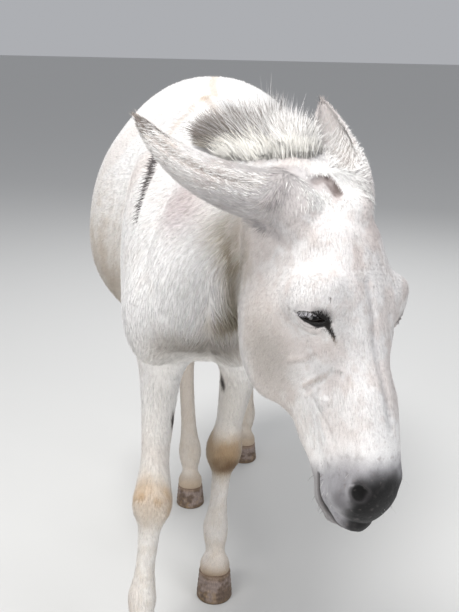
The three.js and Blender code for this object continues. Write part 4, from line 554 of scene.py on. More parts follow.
    # dark muzzle, nostrils and lips
    dd = d + .016 * (mid - .5) + .008 * (sm - .5); edge = np.interp(hz_, [-.140, -.103, -.088, -.067, -.056, -.042, -.030, 0], [.505, .486, .468, .450, .434, .416, .412, .410]) + .009 * step(.002, .034, h[:, 0])
    c = tint(c, hn * step(.372, .415, dd) * .85, (.56, .555, .57)); c = tint(c, hn * step(.36, .42, d) * step(.42, .66, cloud(P * [1, 1, .35], 170, 77, 2)) * .22, (.50, .49, .50))
    c = tint(c, hn * step(-.020, .006, dd - edge) * .60, (.33, .325, .33)); c = tint(c, hn * ball(h, (-.044, .410, -.062), (.024, .034, .036)) * .40, (.48, .47, .48)); c = tint(c, hn * step(-.008, .018, dd - edge) * .97, (.060, .057, .057)); c = tint(c, hn * step(-.004, .016, dd - edge) * step(.50, .70, sm) * .25, (.32, .31, .31)); c = tint(c, hn * ball(H, (.051, .441, -.080), (.011, .014, .015)) * .60, (.34, .33, .34))
    # a dark ring around each nostril, and a near-black centre that is painted shadow inside the shallow opening
    NZ = np.stack([(H[:, 0] - .0475) / .0190, (d - .4335) / .0175, (hz_ + .0450) / .0150], 1); nz = np.linalg.norm(NZ, axis=1); c = tint(c, hn * step(1.25, .85, nz) * .75, (.25, .24, .245)); c = tint(c, hn * step(.86, .62, nz) * .97, (.05, .045, .045))
    rim = near_line(H, [(.0525, .421, -.043), (.0530, .420, -.055), (.0510, .430, -.062)], .0034, .0034, .2); c = tint(c, hn * rim * .45, (.86, .85, .86))
    lip = near_line(H, MOUTH, .0055, .0095, .2); c = tint(c, hn * lip * .94, (.14, .13, .13))
    under = step(-.002, .004, np.interp(d, [v[1] for v in MOUTH], [v[2] for v in MOUTH]) - hz_) * step(.385, .41, d); c = tint(c, hn * under * .60, (.52, .505, .50))
    c = tint(c, hn * step(.36, .40, d) * step(.60, .72, sm) * .18, (.34, .32, .32)); c = tint(c, hn * step(.33, .38, d) * step(.70, .80, tiny) * .35, (.50, .46, .45))
    # eyes
    for s in (-1, 1):
        ce, nn, al, ac = eye_frame(s); q = (P - ce) @ np.stack([al, ac, nn], 1); r = np.linalg.norm(q, axis=1); u_ = q[:, 0] / .0205; top, low = lids(u_)
        e = np.hypot(np.maximum(np.abs(q[:, 0]) - .0195, 0), np.maximum(np.maximum(q[:, 1] - top, -low - q[:, 1]), 0)); fr = (q[:, 2] > 0) & (r < .05)
        soft = .0016 * (sm - .5); far = 1. if s < 0 else .22; ft_ = (q[:, 2] > -.022) & (r < .055); uq = np.clip(q[:, 0] / .022, -1, 1)
        c = tint(c, fr * step(.016, .004, e + soft) * .30, (.62, .60, .60))
        # painted shade above the inner half of the upper lid
        c = tint(c, fr * ball(q, (.013, .0095, .012), (.0140, .0090, .016)) * .92 * far, (.24, .225, .225))
        band = np.where(q[:, 1] > 0, .0014 + .0072 * step(-.3, .75, uq), .0034 + .0044 * step(-.2, .7, uq))
        c = tint(c, fr * step(1.25, .80, (e + soft * .6) / band) * .97 * far, (.070, .060, .060))
        flat_q = np.c_[q[:, :2], np.zeros(n)]
        c = tint(c, ft_ * near_line(flat_q, [(.0205, -.002, 0), (.0275, -.0095, 0), (.0325, -.0160, 0), (.0360, -.0205, 0)], .0066, .0026, .40) * .94 * far, (.095, .080, .072))
        c = tint(c, ft_ * near_line(flat_q, [(.0340, -.0200, 0), (.0385, -.0250, 0)], .0050, .0040, .1) * .45 * far, (.42, .36, .31))
        c = tint(c, ball(q, (-.010, .020, .012), (.008, .005, .012)) * .55 * step(.35, .6, sm), (.76, .66, .48))
    for (hx_, hy_, hz2, r, k) in ((-.084, .159, -.018, .0032, .75), (-.008, .023, -.020, .0030, .8), (-.050, .34, -.040, .0016, .6), (-.092, .150, -.038, .0022, .6), (-.046, .30, -.030, .0014, .5), (-.054, .31, -.055, .0013, .5), (-.030, .05, -.012, .0015, .5),
                                  (-.060, .29, -.075, .0012, .5), (-.044, .365, -.045, .0015, .6), (-.020, .12, -.004, .0014, .5), (.030, .15, -.01, .0016, .5), (.055, .30, -.05, .0014, .5)):
        c = tint(c, (np.linalg.norm(h - [hx_, hy_, hz2], axis=1) < r) * k, (.28, .24, .23))
    # ---- ears
    for s in 'RL':
        t, po, pq, rr = ear_coords(P, s); on = (t > -.25) * (t < 1.1) * step(.064, .052, rr)
        if s == 'R':
            c = tint(c, on * step(.62, .10, t) * step(-.3, -.05, t) * (.34 + .40 * mid), (.65, .63, .63)); c = tint(c, on * step(.25, .02, t) * step(-.2, .0, t) * step(.52, .66, sm) * .40, (.52, .51, .515))
            seam = np.full(n, 9.)
            for u_, v_ in zip(SEAM[:-1], SEAM[1:]): w_ = v_ - u_; f_ = np.clip(((P - u_) @ w_) / (w_ @ w_), 0, 1); seam = np.minimum(seam, np.linalg.norm(P - u_ - f_[:, None] * w_, axis=1))
            # painted shadow along the ear's closed slit, with a brown-grey streak of the ear's own colour toward the
            # tip
            c = tint(c, on * step(.012 + .004 * sm, .003, seam) * step(.0, .3, t) * .35, (.66, .58, .54)); c = tint(c, on * step(.0052, .0016, seam) * (.55 + .35 * step(.5, .9, t)), (.47, .40, .37))
            c = tint(c, on * step(.70, .95, t) * .16, (.76, .71, .68)); c = tint(c, on * step(.3, .7, t) * step(.50, .64, mid) * .35, (.80, .72, .64))
        else:
            c = tint(c, on * step(.55, .80, t + .10 * (mid - .5)) * .50, (.70, .655, .645)); c = tint(c, on * step(.95, 1.0, t) * .4, (.45, .41, .39))
        w = np.interp(np.clip(t, 0, 1), [g[0] for g in EAR_GIRTH[s]], [g[1] for g in EAR_GIRTH[s]]); ins = on * (rr < w * .86) * (t > .08)
        c = tint(c, ins * (po < w * .55) * (.75 if s == 'R' else .16), (.40, .37, .35))
    return np.clip(c, 0, 1)
def linear(c): return np.where(c <= .04045, c / 12.92, ((c + .055) / 1.055) ** 2.4)

# =====================================================================  the lie of the coat
NECK_DOWN = unit([-.21, .42, -.065])
def lie(P, N):
    h = w2h(P); x, y, z = P.T; n = len(P); hn = headness(P); E = lambda v: np.repeat(np.asarray(v, F)[None], n, 0)
    low = step(1.0, .80, z)
    D = np.stack([0 * x, 1 + 0 * x, -.10 - .45 * low], 1)
    w = step(.66, .80, y)[:, None]; D = D * (1 - w) + E([0, .45, -1.]) * w
    w = step(.22, .02, y)[:, None]; D = D * (1 - w) + E([0, .45, -.9]) * w
    w = (step(.60, .56, z) * step(.15, .25, y))[:, None]; D = D * (1 - w) + E([0, 1, 0]) * w
    w = (step(-.10, -.20, y) * step(.88, .76, z))[:, None]; D = D * (1 - w) + np.stack([.35 * np.sign(x - .02), -.1 + 0 * x, -1 + 0 * x], 1) * w
    w = (step(-.02, -.12, y) * step(.80, .90, z))[:, None]; D = D * (1 - w) + (NECK_DOWN + np.stack([0 * x, 0 * x, -.55 * step(1.06, .94, z) - .5 * step(.92, .84, z)], 1)) * w
    w = step(.60, .50, z)[:, None] * step(.72, .5, z)[:, None]; D = D * (1 - w) + E([0, .10, -1]) * w
    w = step(.855, .875, y)[:, None]; D = D * (1 - w) + E([0, 0, -1]) * w
    cheek = step(.030, .055, np.abs(h[:, 0])) * step(-.07, -.12, h[:, 2]) * step(.36, .26, h[:, 1])
    top = step(.06, .00, h[:, 1])
    G = np.stack([.25 * np.sign(h[:, 0]) * step(.02, .05, np.abs(h[:, 0])), 1 - .35 * cheek - .25 * top, -.75 * cheek - .1], 1)
    G = unit(G) @ HM.T; D = D * (1 - hn[:, None]) + G * hn[:, None]
    for s in 'RL':
        t, po, pq, rr = ear_coords(P, s); e = ear_axis(s)[1]; w = (step(-.02, .12, t) * step(.066, .050, rr))[:, None]; D = D * (1 - w) + e * w
    Q = P @ ASKEW
    D = D + .22 * (np.stack([vnoise(Q, 14, 51), vnoise(Q, 14, 52), vnoise(Q, 14, 53)], 1) - .5) + .10 * (np.stack([vnoise(Q, 60, 54), vnoise(Q, 60, 55), vnoise(Q, 60, 56)], 1) - .5)
    return unit(D - (D * N).sum(1, keepdims=True) * N)

# =====================================================================  an unwrap of the skin by regions, for the coat's baked map
RECT = dict(body=(.01, .01, .60, .58), head=(.01, .60, .44, .99), earR=(.46, .60, .60, .80), earL=(.62, .60, .76, .80), tail=(.78, .60, .86, .99),
            foreR=(.62, .01, .70, .58), foreL=(.71, .01, .79, .58), hindR=(.80, .01, .88, .58), hindL=(.89, .01, .97, .58), mane=(.46, .82, .76, .99))
def unwrap(P, region=None):
    P = np.asarray(P, F); n = len(P); x, y, z = P.T; h = w2h(P); hn = headness(P); uv = np.zeros((n, 2)); reg = np.zeros(n, int); names = list(RECT)
    if region is not None: reg[:] = names.index(region)
    else:
        reg[:] = 0; reg[hn > .5] = 1
        for i, s in ((2, 'R'), (3, 'L')): t, po, pq, rr = ear_coords(P, s); reg[(t > .06) & (rr < .062)] = i
        reg[(y > .868) & (np.abs(x) < .08)] = 4
        legs = (z < .56) & (reg == 0)
        for i, J in ((5, FORE['R']), (6, FORE['L']), (7, HIND['R']), (8, HIND['L'])):
            zz = np.array([J['el'][2], J['kn'][2], J['ft'][2], 0.])[::-1]; xx = np.array([J['el'][0], J['kn'][0], J['ft'][0], J['hf'][0]])[::-1]; yy = np.array([J['el'][1], J['kn'][1], J['ft'][1], J['hf'][1]])[::-1]
            d = np.hypot(x - np.interp(z, zz, xx), y - np.interp(z, zz, yy)); reg[legs & (d < .10 + .3 * np.maximum(z - .45, 0))] = i
    def put(i, a, v):
        m = reg == i; u0, v0, u1, v1 = RECT[names[i]]; uv[m, 0] = u0 + (u1 - u0) * (a[m] / (2 * np.pi) + .5); uv[m, 1] = v0 + (v1 - v0) * np.clip(v[m], 0, 1)
    put(0, np.arctan2(x - np.interp(y, [-.36, -.19, -.08, 0], [.19, .045, .005, -.004]), -(z - np.interp(y, [-.36, -.1, .1, .6, .8], [.91, .86, .80, .80, .84]))), (y + .42) / 1.32)
    put(1, np.arctan2(h[:, 0], h[:, 2] + .10), (h[:, 1] + .09) / .60)
    for i, s in ((2, 'R'), (3, 'L')): t, po, pq, rr = ear_coords(P, s); put(i, np.arctan2(pq, -po), (t + .05) / 1.12)
    put(4, np.arctan2(x, -(y - .895)), (1.02 - z) / .75)
    for i, J in ((5, FORE['R']), (6, FORE['L']), (7, HIND['R']), (8, HIND['L'])):
        zz = np.array([J['el'][2], J['kn'][2], J['ft'][2], 0.])[::-1]; xx = np.array([J['el'][0], J['kn'][0], J['ft'][0], J['hf'][0]])[::-1]; yy = np.array([J['el'][1], J['kn'][1], J['ft'][1], J['hf'][1]])[::-1]
        put(i, np.arctan2(x - np.interp(z, zz, xx), -(y - np.interp(z, zz, yy))), z / .57)
    m = reg == 9
    if m.any(): u0, v0, u1, v1 = RECT['mane']; uv[m, 0] = u0 + (u1 - u0) * np.clip((y[m] + .42) / .50, 0, 1); uv[m, 1] = v0 + (v1 - v0) * np.clip((x[m] + .12) / .42, 0, 1)
    return uv

# =====================================================================  strands: closed tapering three-sided locks
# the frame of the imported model: the animal's place less a shift, found from the eyes
mid_eye = sum((np.array(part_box(n)[0]) + np.array(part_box(n)[1])) / 2 for n in ('eye_left', 'eye_right')) / 2
SHIFT = h2w((0, EYE_AT[1], EYE_AT[2])) - mid_eye
def row(P): return np.asarray(P) - SHIFT
def make(name, V, faces, cols=None, uv=None, smooth=True, mats=(), normals=None):
    me = bpy.data.meshes.new(name); V = np.asarray(V, np.float32); nf = [np.asarray(f, np.int32) for f in faces if len(f)]
    me.vertices.add(len(V)); me.vertices.foreach_set('co', V.ravel()); loops = np.concatenate([f.ravel() for f in nf]); sizes = np.concatenate([np.full(len(f), f.shape[1]) for f in nf])
    me.loops.add(len(loops)); me.loops.foreach_set('vertex_index', loops); me.polygons.add(len(sizes))
    me.polygons.foreach_set('loop_start', np.concatenate([[0], np.cumsum(sizes)[:-1]]).astype(np.int32)); me.polygons.foreach_set('use_smooth', np.full(len(sizes), smooth))
    me.update(calc_edges=True)
    if cols is not None:
        at = me.color_attributes.new('Col', 'FLOAT_COLOR', 'POINT'); at.data.foreach_set('color', np.concatenate([linear(cols), np.ones((len(V), 1))], 1).astype(np.float32).ravel())
    if uv is not None:
        l = me.uv_layers.new(name='OFBake'); l.data.foreach_set('uv', uv[loops].astype(np.float32).ravel())
    if normals is not None: me.normals_split_custom_set_from_vertices(np.asarray(normals, np.float32))
    o = bpy.data.objects.new(name, me); bpy.context.scene.collection.objects.link(o)
    for m in mats: me.materials.append(m)
    return o
def strands(R, d0, d1, L, W, N, seg, flat=.30, cols=None, root_uv=None, root_shade_tip_tone=(.86, 1.04), power=1.6, thick=None):
    """R roots, d0 and d1 directions at root and tip, L lengths, W widths, N which way the broad side faces"""
    n = len(R); t = np.linspace(0, 1, seg + 1); L = np.broadcast_to(L, n)[:, None]; W = np.broadcast_to(W, n)[:, None]
    V = np.zeros((n, 3 * seg + 1, 3)); C = np.zeros((n, 3 * seg + 1, 3)); U = np.zeros((n, 3 * seg + 1, 2)); patch = .0015
    for i in range(seg + 1):
        c = R + L * (d0 * t[i] + (d1 - d0) * t[i] ** 2 * .5); T = unit(d0 + (d1 - d0) * t[i]); S = unit(np.cross(T, N)); B = np.cross(S, T); B = B * np.sign((B * N).sum(1, keepdims=True) + 1e-9)
        # painted shade: each lock's colour is darkened toward its root, where shade falls between the hairs, and
        # lightened toward its tip
        root_shade_k = root_shade_tip_tone[0] + (root_shade_tip_tone[1] - root_shade_tip_tone[0]) * t[i]
        if i == seg: V[:, -1] = c; C[:, -1] = cols * root_shade_k if cols is not None else 0; U[:, -1] = root_uv + [0, patch] if root_uv is not None else 0; break
        w = W * (1 - t[i] ** power) * .5
        for j, (a, b, ua) in enumerate(((-1, 0, -patch), (1, 0, patch), (0, 2 * flat, -.2 * patch))):
            V[:, 3 * i + j] = c + S * w * a + B * w * b
            if cols is not None: C[:, 3 * i + j] = cols * root_shade_k
            if root_uv is not None: U[:, 3 * i + j] = root_uv + [ua * (1 - .7 * t[i]), patch * (2 * t[i] - 1) * .98]
    base = (np.arange(n) * (3 * seg + 1))[:, None]; F3, F4 = [base + [0, 1, 2]], []
    for i in range(seg - 1):
        for a, b in ((0, 1), (1, 2), (2, 0)): F4.append(base + [3 * i + b, 3 * i + a, 3 * i + 3 + a, 3 * i + 3 + b])
    k = 3 * (seg - 1); e = 3 * seg
    for a, b in ((0, 1), (1, 2), (2, 0)): F3.append(base + [k + b, k + a, e])
    # every lock faces out whichever way it was turned
    v = V[0]; f = F3[0][0] - base[0]; out = np.cross(v[f[1]] - v[f[0]], v[f[2]] - v[f[0]]) @ (v[-1] - v[0])
    F3 = np.concatenate(F3); F4 = np.concatenate(F4) if F4 else np.zeros((0, 4), int)
    if out > 0: F3 = F3[:, ::-1]; F4 = F4[:, ::-1]
    return V.reshape(-1, 3), F3, F4, np.clip(C.reshape(-1, 3), 0, 1), U.reshape(-1, 2)
def hair(name, R, d0, d1, L, W, N, seg, mat, flat=.30, cols=None, region=None, root_shade_tip_tone=(.86, 1.04), power=1.6, most=188000, soft=None):
    tris = 1 + 3 + 6 * (seg - 1); per = most // tris; out = []; n = len(R); k = max(1, math.ceil(n / per)); cut = np.linspace(0, n, k + 1).astype(int)
    uvs = unwrap(R, region)
    for i in range(k):
        s = slice(cut[i], cut[i + 1]); g = lambda a: a[s] if np.ndim(a) and len(np.atleast_1d(a)) == n else a
        V, F3, F4, C, U = strands(R[s], d0[s], d1[s], g(L), g(W), N[s], seg, flat, cols[s], uvs[s], root_shade_tip_tone, power)
        o = make(name if k == 1 else '%s_%d' % (name, i + 1), row(V), [F3, F4], C, U, mats=[mat], normals=None if soft is None else np.repeat(soft[s], 3 * seg + 1, 0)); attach(o, 'root'); out.append(o)
    return out, n * tris

# =====================================================================  materials
def node_mat(name):
    m = bpy.data.materials.new(name); m.use_nodes = True; nt = m.node_tree; nt.nodes.clear()
    out = nt.nodes.new('ShaderNodeOutputMaterial'); b = nt.nodes.new('ShaderNodeBsdfPrincipled'); nt.links.new(b.outputs[0], out.inputs[0]); return m, nt, b
def N_(nt, kind, **k):
    n = nt.nodes.new(kind)
    for a, v in k.items():
        if a.startswith('i_'): n.inputs[a[2:].replace('_', ' ')].default_value = v
        else: setattr(n, a, v)
    return n
def coat_mat(name, rough=.78, spec=.28, sheen=.10, var=.16, scale=(260, 900), bump=.35, dist=.0010, stretch=(1, 1, 1), strand=False):
    m, nt, b = node_mat(name); L = nt.links.new
    col = N_(nt, 'ShaderNodeVertexColor', layer_name='Col'); tc = N_(nt, 'ShaderNodeTexCoord'); mp = N_(nt, 'ShaderNodeMapping'); mp.inputs['Scale'].default_value = stretch; L(tc.outputs['Object'], mp.inputs['Vector'])
    n1 = N_(nt, 'ShaderNodeTexNoise', i_Scale=scale[0], i_Detail=4., i_Roughness=.6); n2 = N_(nt, 'ShaderNodeTexNoise', i_Scale=scale[1], i_Detail=3., i_Roughness=.65)
    L(mp.outputs[0], n1.inputs['Vector']); L(mp.outputs[0], n2.inputs['Vector'])
    mr = N_(nt, 'ShaderNodeMapRange'); mr.inputs['From Min'].default_value = .30; mr.inputs['From Max'].default_value = .70; mr.inputs['To Min'].default_value = 1 - var; mr.inputs['To Max'].default_value = 1 + var * .45
    mx = N_(nt, 'ShaderNodeMath', operation='MULTIPLY_ADD'); mx.inputs[1].default_value = .5; L(n1.outputs['Fac'], mx.inputs[0]); h2 = N_(nt, 'ShaderNodeMath', operation='MULTIPLY'); h2.inputs[1].default_value = .5; L(n2.outputs['Fac'], h2.inputs[0]); L(h2.outputs[0], mx.inputs[2])
    L(mx.outputs[0], mr.inputs['Value']); mul = N_(nt, 'ShaderNodeVectorMath', operation='SCALE'); L(col.outputs['Color'], mul.inputs[0]); L(mr.outputs[0], mul.inputs['Scale']); L(mul.outputs[0], b.inputs['Base Color'])
    rr = N_(nt, 'ShaderNodeMapRange'); rr.inputs['To Min'].default_value = rough - .12; rr.inputs['To Max'].default_value = min(rough + .14, 1); L(n1.outputs['Fac'], rr.inputs['Value']); L(rr.outputs[0], b.inputs['Roughness'])
    bp = N_(nt, 'ShaderNodeBump', i_Strength=bump, i_Distance=dist); L(mx.outputs[0], bp.inputs['Height']); L(bp.outputs[0], b.inputs['Normal'])
    b.inputs['Specular IOR Level'].default_value = spec; b.inputs['Sheen Weight'].default_value = sheen; b.inputs['Sheen Roughness'].default_value = .5
    return m
M_SKIN = coat_mat('short_coat', rough=.80, spec=.20, var=.20, scale=(520, 1900), bump=.45, dist=.0007)
M_TUFT = coat_mat('coat_tufts', rough=.80, spec=.20, var=.20, scale=(520, 1900), bump=.20, dist=.0004)
M_LONG = coat_mat('long_hair', rough=.60, spec=.35, var=.16, scale=(300, 1200), bump=.15, dist=.0004)
M_MANE = coat_mat('mane_hair', rough=.62, spec=.32, var=.20, scale=(240, 900), bump=.15, dist=.0005)

# =====================================================================  the skin
vol = np.einsum('ij,ij->i', P[TRI[:, 0]], np.cross(P[TRI[:, 1]], P[TRI[:, 2]])).sum() / 6
if vol < 0: TRI = TRI[:, ::-1]; NRM = -NRM
COL = markings(P)
skin = make('skin', row(P), [TRI], COL, mats=[M_SKIN]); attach(skin, 'root')
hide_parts(*[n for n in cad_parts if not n.startswith(('hoof', 'eye'))])
print('skin volume', round(abs(vol), 4), 'triangles', len(TRI), 'time', round(time.time() - T0, 1))
TOTAL = len(TRI)

# =====================================================================  the short coat
HF = w2h(P); HNV = headness(P)
def sample(n_per_m2, seed):
    """places on the skin, spread by a density given at its corners"""
    g = np.random.default_rng(seed); w = AREA * n_per_m2[TRI].mean(1); cs = np.cumsum(w); n = int(cs[-1]); u = (np.arange(n) + g.random(n)) / n * cs[-1]
    t = np.minimum(np.searchsorted(cs, u), len(w) - 1); a, b = g.random(n), g.random(n); m = a + b > 1; a[m], b[m] = 1 - a[m], 1 - b[m]; T = TRI[t]; c = (1 - a - b)
    mixv = lambda A: A[T[:, 0]] * c[:, None] + A[T[:, 1]] * a[:, None] + A[T[:, 2]] * b[:, None]
    return mixv(P), unit(mixv(NRM)), g
def eye_clear(R):
    k = np.ones(len(R))
    for s in (-1, 1):
        c, n, al, ac = eye_frame(s); q = (R - c) @ np.stack([al, ac, n], 1); u = q[:, 0] / .0205; top, low = lids(u)
        e = np.hypot(np.maximum(np.abs(q[:, 0]) - .020, 0), np.maximum(np.maximum(q[:, 1] - top, -low - q[:, 1]), 0)); k *= np.where((q[:, 2] > 0) & (np.linalg.norm(q, axis=1) < .05), step(.0008, .005, e), 1)
    return k
def nose_clear(R):
    h = w2h(R); H = np.stack([np.abs(h[:, 0]), h[:, 1], h[:, 2]], 1); nz = np.linalg.norm((H - [.0475, .4335, -.045]) / [.021, .020, .017], axis=1)
    lip = near_line(H, MOUTH, .005, .005, .5)
    return step(.75, 1.05, nz) * (1 - lip * (h[:, 1] > .38))
EARNEAR = ear_near(P); onear = step(.070, .052, EARNEAR); muz = HNV * step(.33, .43, HF[:, 1]); legw = step(.56, .46, P[:, 2]) * (1 - HNV)
dens = np.full(len(P), 66000.) + legw * 54000; dens += HNV * (205000 - dens); dens += onear * (190000 - dens); dens -= muz * 60000
dens *= 1 - .97 * step(.075, .058, P[:, 2])
CLR = eye_clear(P) * nose_clear(P)
EYEZ = sum(np.exp(-(np.linalg.norm(P - eye_frame(s)[0], axis=1) / .034) ** 4) for s in (-1, 1)); dens *= (.04 + .96 * CLR) * (1 + 1.0 * EYEZ)
R, NN, g = sample(dens, 101)
h = w2h(R); hn = headness(R); en = step(.070, .052, ear_near(R)); mz = hn * step(.33, .43, h[:, 1]); lg = step(.56, .46, R[:, 2]) * (1 - hn)
throat = (1 - hn) * (ball(R, (.06, -.34, .85), (.07, .07, .11)) + .7 * ball(R, (.03, -.28, .72), (.06, .06, .06)))
belly = (1 - hn) * step(.60, .54, R[:, 2]) * step(.1, .3, R[:, 1]) * (1 - lg)
Lh = .0150 + .012 * throat + .006 * belly; Wd = .00150 + .0005 * throat; tip = .0025 + .0030 * throat + .001 * belly
for k, (l_, w_, t_) in ((lg, (.0095, .00135, .0019)), (hn, (.0080, .00110, .0014)), (mz, (.0036, .0008, .0006)), (en, (.0125, .00135, .0030))):
    Lh += k * (l_ - Lh); Wd += k * (w_ - Wd); tip += k * (t_ - tip)
ez = sum(np.exp(-(np.linalg.norm(R - eye_frame(s)[0], axis=1) / .030) ** 4) for s in (-1, 1)); Lh *= 1 - .45 * ez; Wd *= 1 - .30 * ez; tip *= 1 - .4 * ez
low = step(.12, .06, R[:, 2]) * (1 - hn); Lh *= 1 - .2 * low; nn_ = near_line(h, NOTCH, .020, .014, .3); Lh *= 1 - .40 * nn_; tip *= 1 - .3 * nn_
Lh *= g.uniform(.72, 1.28, len(R)); Wd *= g.uniform(.75, 1.25, len(R)); tip *= g.uniform(.55, 1.3, len(R))
D = lie(R, NN); side = np.cross(NN, D); D = unit(D + side * g.normal(0, .13, len(R))[:, None])
sn = np.clip(tip / Lh, 0, .8)[:, None]; d0 = D * np.sqrt(1 - sn ** 2) + NN * sn
keepm = (eye_clear(R) > .15) & (nose_clear(R) > .12) & (near_line(h, NOTCH, .0060, .0050, .3) < .5); pick = lambda *A: [a[keepm] for a in A]
R, NN, d0, Lh, Wd, h, hn = pick(R, NN, d0, Lh, Wd, h, hn)
C = markings(R); br = g.normal(0, .036, len(R)); C = np.clip(C * (1 + br[:, None]) + g.normal(0, .005, (len(R), 3)), 0, 1)
order = np.argsort(unwrap(R) @ [0, 1.] + 10 * (hn > .5), kind='stable'); R, NN, d0, Lh, Wd, C, hn = (a[order] for a in (R, NN, d0, Lh, Wd, C, hn))
hd_m = hn > .5
for nm, m, sl in (('coat_body', ~hd_m, 'coat'), ('coat_head', hd_m, 'coat_head')):
    o, k = hair(nm, R[m] - NN[m] * .0006, d0[m], d0[m], Lh[m], Wd[m], NN[m], 1, M_TUFT, flat=.26, cols=C[m], root_shade_tip_tone=(.95, 1.015), soft=unit(NN[m] + g.normal(0, .085 if sl == 'coat_head' else .060, (m.sum(), 3)))); TOTAL += k
    print(nm, len(o), 'pieces', k, 'triangles, time', round(time.time() - T0, 1))

# =====================================================================  mane
def settle(R, n=3):
    for _ in range(n):
        d = SKIN(R, .03); G = np.stack([SKIN(R + np.eye(3)[j] * .001, .03) - d for j in range(3)], 1) / .001; R = R - np.clip(d, -.02, .02)[:, None] * unit(G)
    return R, unit(G)
NK = fine(NECK, 5)
def crest():
    out = []
    for y, hgt, w, u in MANE:
        q = max(y, NK[-1, 1]); o = np.argsort(NK[:, 1]); x = np.interp(q, NK[o, 1], NK[o, 0]); z = np.interp(q, NK[o, 1], NK[o, 2]); past = max(NK[-1, 1] - y, 0); a, b = 0., .4; f0 = np.array([x + past * .5, y, z])
        for _ in range(22):
            m = (a + b) / 2
            if SKIN((f0 + [0, 0, m])[None], .03)[0] < 0: a = m
            else: b = m
        out.append((*(f0 + [0, 0, a]), hgt, w, *unit(u)))
    return np.array(out)
CR = crest(); g = np.random.default_rng(7)
seg_ = np.linalg.norm(np.diff(CR[:, :3], axis=0), axis=1); cs = np.concatenate([[0], np.cumsum(seg_)]) / seg_.sum()
def along(s): return np.stack([np.interp(s, cs, CR[:, j]) for j in range(CR.shape[1])], 1)
n = 11500
s_ = np.sort(g.random(n) ** .95); A = along(s_); A2 = along(np.clip(s_ + .01, 0, 1)); A1 = along(np.clip(s_ - .01, 0, 1)); T = unit(A2[:, :3] - A1[:, :3]); up = A[:, 5:8]; sd = unit(np.cross(T, up)); sd = sd * np.sign(-sd[:, :1])      # toward the animal's right
nc = 150; cc = np.sort(g.random(nc)); co_ = np.clip(g.normal(0, .55, nc), -1.25, 1.25); clump = np.clip(np.searchsorted(cc, s_) + g.integers(-2, 3, n), 0, nc - 1)
off = np.clip(.55 * co_[clump] + .62 * g.normal(0, .50, n), -1.35, 1.35); R = A[:, :3] + sd * (off * A[:, 4] * .85)[:, None]; R, NR = settle(R)
ct, cd, ch, cb = g.normal(0, .17, nc), g.normal(0, .13, nc), g.uniform(.74, 1.08, nc), g.normal(0, .085, nc)
dirn = unit(up + sd * (off * .40 + cd[clump] + g.normal(0, .05, n))[:, None] + T * (-.10 + ct[clump] + g.normal(0, .06, n))[:, None]); hgt = A[:, 3] * (1 - .32 * np.abs(off) ** 1.5) * ch[clump] * g.uniform(.42, 1.12, n) ** .8 + .010
wisp = g.random(n) < .07; hgt = np.where(wisp, hgt * 1.14 + .006, hgt)
curl = unit(dirn + sd * (.34 * off + .10 * np.sin(s_ * 19) + g.normal(0, .08, n))[:, None] + T * (1.3 * ct[clump] + g.normal(0, .09, n) - .12)[:, None] - np.array([0, 0, .12]))
dark = step(1.05, .30, s_) * (.60 + .40 * step(-.8, .3, off)); dk = g.random(n) < .86 * dark; col = np.where(dk[:, None], [.46, .425, .40], [.93, .92, .915]); col = col * (1 - .24 * dark[:, None] * ~dk[:, None]); lt = step(.80, .95, s_)[:, None]; col = col * (1 - lt * .15) + np.array([.95, .935, .88]) * lt * .15
col = np.clip(col * (1 + cb[clump][:, None] * (1 - .6 * s_[:, None]) + g.normal(0, .04, (n, 1))), 0, 1); soft_m = unit(.50 * up + sd * (.62 * off)[:, None] + .30 * NR + g.normal(0, .16, (n, 3)))
o, k = hair('mane_hair', R - dirn * .003, dirn, curl, hgt, g.uniform(.0008, .0017, n) * np.where(wisp, .7, 1), unit(sd + .5 * g.normal(0, 1, (n, 3))), 4, M_MANE, flat=.45, cols=col, region='mane', root_shade_tip_tone=(.84, 1.05), power=2.2, soft=soft_m); TOTAL += k
# an undercoat of shorter hair that closes the foot of the mane
n = 2600
s_ = g.random(n); A = along(s_); T = unit(along(np.clip(s_ + .01, 0, 1))[:, :3] - along(np.clip(s_ - .01, 0, 1))[:, :3]); up = A[:, 5:8]; sd = unit(np.cross(T, up)); sd = sd * np.sign(-sd[:, :1]); off = g.uniform(-1, 1, n)
R, NR = settle(A[:, :3] + sd * (off * A[:, 4])[:, None]); dirn = unit(up + sd * (off * .55)[:, None] + g.normal(0, .15, (n, 3))); dark = step(.62, .12, s_)[:, None]; col = np.array([.93, .915, .885]) * (1 - dark) + np.array([.60, .56, .50]) * dark
o, k = hair('mane_under', R - dirn * .003, dirn, unit(dirn + sd * .2), A[:, 3] * g.uniform(.28, .60, n) + .006, g.uniform(.0018, .0030, n), unit(sd + .4 * g.normal(0, 1, (n, 3))), 3, M_MANE, flat=.5, cols=np.clip(col * (1 + g.normal(0, .05, (n, 1))), 0, 1), region='mane', root_shade_tip_tone=(.94, 1.03), soft=unit(.5 * up + sd * (.5 * off)[:, None] + .4 * NR + g.normal(0, .14, (n, 3)))); TOTAL += k
# bright ragged hair along the foot of the mane behind the poll
n = 3000
s_ = g.uniform(.42, 1.0, n); A = along(s_); T = unit(along(np.clip(s_ + .01, 0, 1))[:, :3] - along(np.clip(s_ - .01, 0, 1))[:, :3]); up = A[:, 5:8]; sd = unit(np.cross(T, up)); sd = sd * np.sign(-sd[:, :1])
R, NR = settle(A[:, :3] + sd * (A[:, 4] * g.uniform(.2, 1.6, n))[:, None] + g.normal(0, .003, (n, 3))); dirn = unit(.90 * up + sd * g.uniform(.1, .55, n)[:, None] + T * g.normal(.10, .25, n)[:, None] + .35 * NR)
o, k = hair('mane_foot', R - NR * .001, dirn, unit(dirn + up * .3 + g.normal(0, .08, (n, 3))), g.uniform(.016, .040, n), g.uniform(.0011, .0020, n), unit(sd + .4 * g.normal(0, 1, (n, 3))), 3, M_MANE, flat=.45, cols=np.clip(np.array([.95, .94, .915]) * (1 + g.normal(0, .035, (n, 1))), 0, 1), region='mane', root_shade_tip_tone=(.92, 1.03), soft=unit(NR + .4 * up + g.normal(0, .10, (n, 3)))); TOTAL += k
